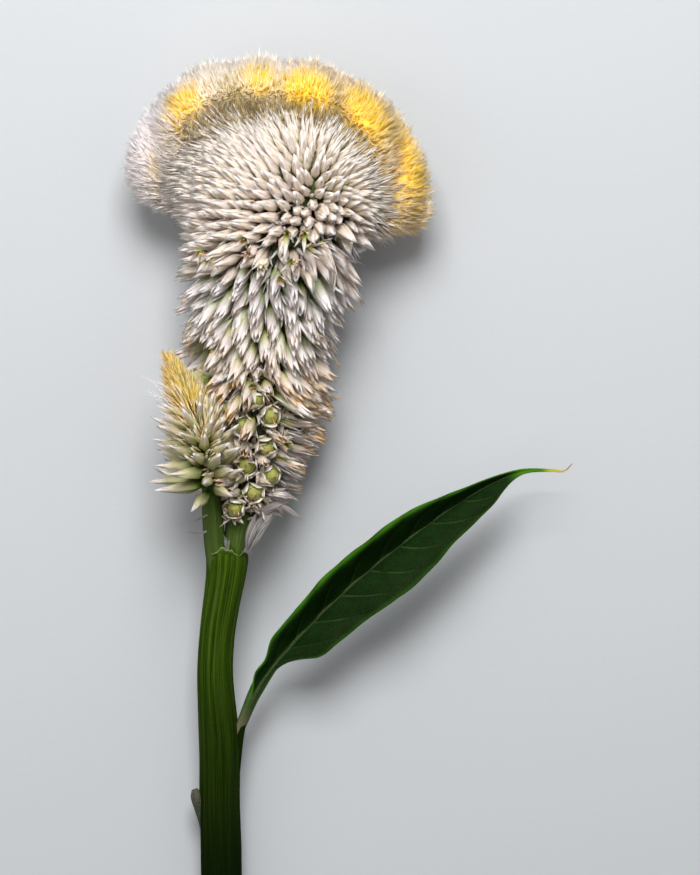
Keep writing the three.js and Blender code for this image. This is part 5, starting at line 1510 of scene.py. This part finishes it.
def stalk(name, route, girth, nodes):
    """A green stalk with low ribs along a path, its girth from rows of (share, radius)."""
    share, angle = np.linspace(0, 1, 60)[:, None], once_round(56)
    rib = np.cos(STALK_RIBS * angle + 0.5 * np.sin(3 * share))
    rings = tube_along(route, share, along_rows(girth, share)[0] * (1 + 0.02 * rib), angle)
    values = {"rib": rib, "cut": STALK_PALE, "rim": 0.5, "rise": 0.9}
    tube_piece(name, rings, stem_skin, values, angle / TURN, share, nodes)


stalk("side_spike_axis", SPIKE_STALK, SPIKE_STALK_GIRTH, ["side_spike"])
stalk("comb_neck", NECK_STALK, NECK_STALK_GIRTH, ["comb_florets"])


# ---------------------------------------------------------------- dry membranes
# The withered bracts that once wrapped the head and the spike: torn, fibrous membranes, thin as tissue,
# rooted where the two stalks leave the stem.

MEMBRANES = [  # root to end, width, curl across it, how ragged the end is, strips
    ([(4.4, 63.6, 13.4), (5.6, 67.6, 14.9), (8.0, 71.4, 15.4)], 2.3, 0.5, 0.35, 6),
    ([(5.6, 69.4, 14.2), (8.4, 71.4, 16.0), (10.8, 72.3, 16.4)], 1.5, 0.4, 0.3, 4),
    ([(9.2, 72.0, 15.6), (11.8, 71.0, 16.9), (14.4, 68.9, 17.0)], 1.3, 0.5, 0.1, 3),
    ([(1.2, 63.9, 13.7), (1.3, 65.4, 14.4), (0.9, 66.7, 14.6)], 0.8, 0.4, 0.4, 3),
    ([(-0.9, 70.4, 14.6), (-2.6, 69.7, 15.1), (-4.3, 68.8, 15.0)], 0.6, 0.3, 0.3, 2),
    ([(-1.4, 67.6, 13.8), (-3.2, 67.1, 14.2), (-5.6, 67.4, 14.0)], 0.5, 0.3, 0.3, 2),
]
COLLAR_FOOT, COLLAR_RISE, COLLAR_STANDS_OFF = 62.9, 1.5, 0.03
COLLAR_PALE = 0.7            # how pale the collar's torn edge is
COLLAR_SUNK = 0.3            # how far its foot is sunk in the stem
MEMBRANE_PAPER = 0.07
STRIP_SPREAD = 0.34      # of the width, how far a strip wanders from the middle at its end


def membrane(route, width, curl, ragged, seed):
    """A ribbon along a path. Across it the section bows by curl times the width, with fine pleats, and its
    end is torn: each strand across stops at its own share. Both faces stand half the paper's thickness off.
    Gives points, faces, the tone and the place on the map."""
    draw = np.random.default_rng(seed)
    rows, half = 32, 6
    across = np.linspace(-1, 1, 2 * half + 1)[None, :]
    whole = np.linspace(0, 1, rows)[:, None]
    strand = np.interp(across[0], np.linspace(-1, 1, 9), draw.uniform(-1, 0, 9))
    share = whole * (1 + ragged * strand[None, :])
    grid = smooth_path(route, share.ravel()).reshape(rows, -1, 3)
    _, level, upper = frames_along(smooth_path(route, whole[:, 0]))
    girth = width / 2 * (0.35 + 0.65 * np.sin(np.pi * np.clip(share, 0, 1) ** 0.8))
    girth = girth * (1 - 0.75 * smoothstep(0.6, 1, share))
    pleat = 0.12 * np.sin(11 * across + 5 * share + seed) + 0.2 * np.sin(4 * share * np.pi + 2 * across + seed)
    grid = grid + level[:, None] * (across * girth)[..., None]
    grid = grid + upper[:, None] * (curl * girth * (1 - across**2) + pleat * girth)[..., None]
    normal = unit(np.cross(np.gradient(grid, axis=1), np.gradient(grid, axis=0)))
    thick = MEMBRANE_PAPER / 2 * (1 - 0.6 * np.abs(across))[..., None]
    rings = np.concatenate([grid + normal * thick, (grid - normal * thick)[:, -2:0:-1]], 1)
    points, faces = closed_tube(rings)
    place = np.concatenate([across[0], across[0, -2:0:-1]])[None, :]
    tone, *map_uv = (
        tube_values(value, *rings.shape[:2]) for value in (0.4 + 0.3 * np.sin(6 * place), 1.5 * place, whole))
    return points, faces, tone, np.stack(map_uv, -1)


def collar():
    """The torn edge of the bract's sheath, round the front of the stem's top: a thin band from COLLAR_FOOT up
    by COLLAR_RISE times a ragged sum of sines, standing off the stem's own width and depth."""
    turn = np.linspace(-0.25, 1.25, 150)[:, None] * np.pi
    ragged = 0.7 + 0.4 * np.sin(4 * turn + 1) + 0.14 * np.sin(11 * turn) + 0.05 * np.sin(29 * turn + 2)
    share = np.linspace(0, 1, 7)[None, :]
    y = COLLAR_FOOT + COLLAR_RISE * ragged * share
    x, z, width, depth = along_rows(STEM, np.minimum(y, STEM_LENGTH))
    skins = []
    for off in (COLLAR_STANDS_OFF, COLLAR_STANDS_OFF - MEMBRANE_PAPER):
        off = off + 0.35 * share**2 * (0.5 + 0.5 * np.sin(9 * turn)) - COLLAR_SUNK * (1 - share) ** 3
        aside, proud = (half * shoulder(y) + off for half in (width, depth))
        skins.append(np.stack([x + aside * np.cos(turn), y, z + proud * np.sin(turn)], -1))
    rings = np.concatenate([skins[0], skins[1][:, ::-1]], 1)
    share = np.concatenate([share, share[:, ::-1]], 1)
    values = {"rib": 0, "cut": COLLAR_PALE * share**8, "rim": 0.5, "rise": 0.95}
    tube_piece("sheath_collar", rings, stem_skin, values, 6 * turn, share, ["stem"])


torn_paper = dry_paper(
    "torn_paper", dull=(0.24, 0.22, 0.21, 1), bright=(0.64, 0.59, 0.60, 1), fibre=(0.26, 0.20, 0.16, 1),
    clearness=0.8)
for k, (route, width, curl, ragged, strips) in enumerate(MEMBRANES):
    made = []
    for strip in range(strips):
        wander = STRIP_SPREAD * width * draw.normal(size=(2, 3)) * np.array([1, 0.6, 0.5])
        share = np.linspace(0, 2, len(route))[:, None]
        bent = np.array(route) + np.minimum(share, 1) * wander[0] + np.maximum(share - 1, 0) * wander[1]
        bent[:, :2] += np.array([0.42, -0.18]) * width * ((strip + 0.5) / strips - 0.5)
        points, (quads, fans), tone, place = membrane(bent, 0.46 * width, curl, ragged, 10 * k + strip)
        before = sum(len(earlier[0]) for earlier in made)
        made.append((points, quads + before, fans + before, tone, place + (strip, 0)))
    points, quads, fans, tone, place = (np.concatenate(parts) for parts in zip(*made))
    make_piece(f"membrane_{k + 1}", points, [quads, fans], torn_paper, {"tone": tone}, place,
               nodes=["comb_florets"])
collar()
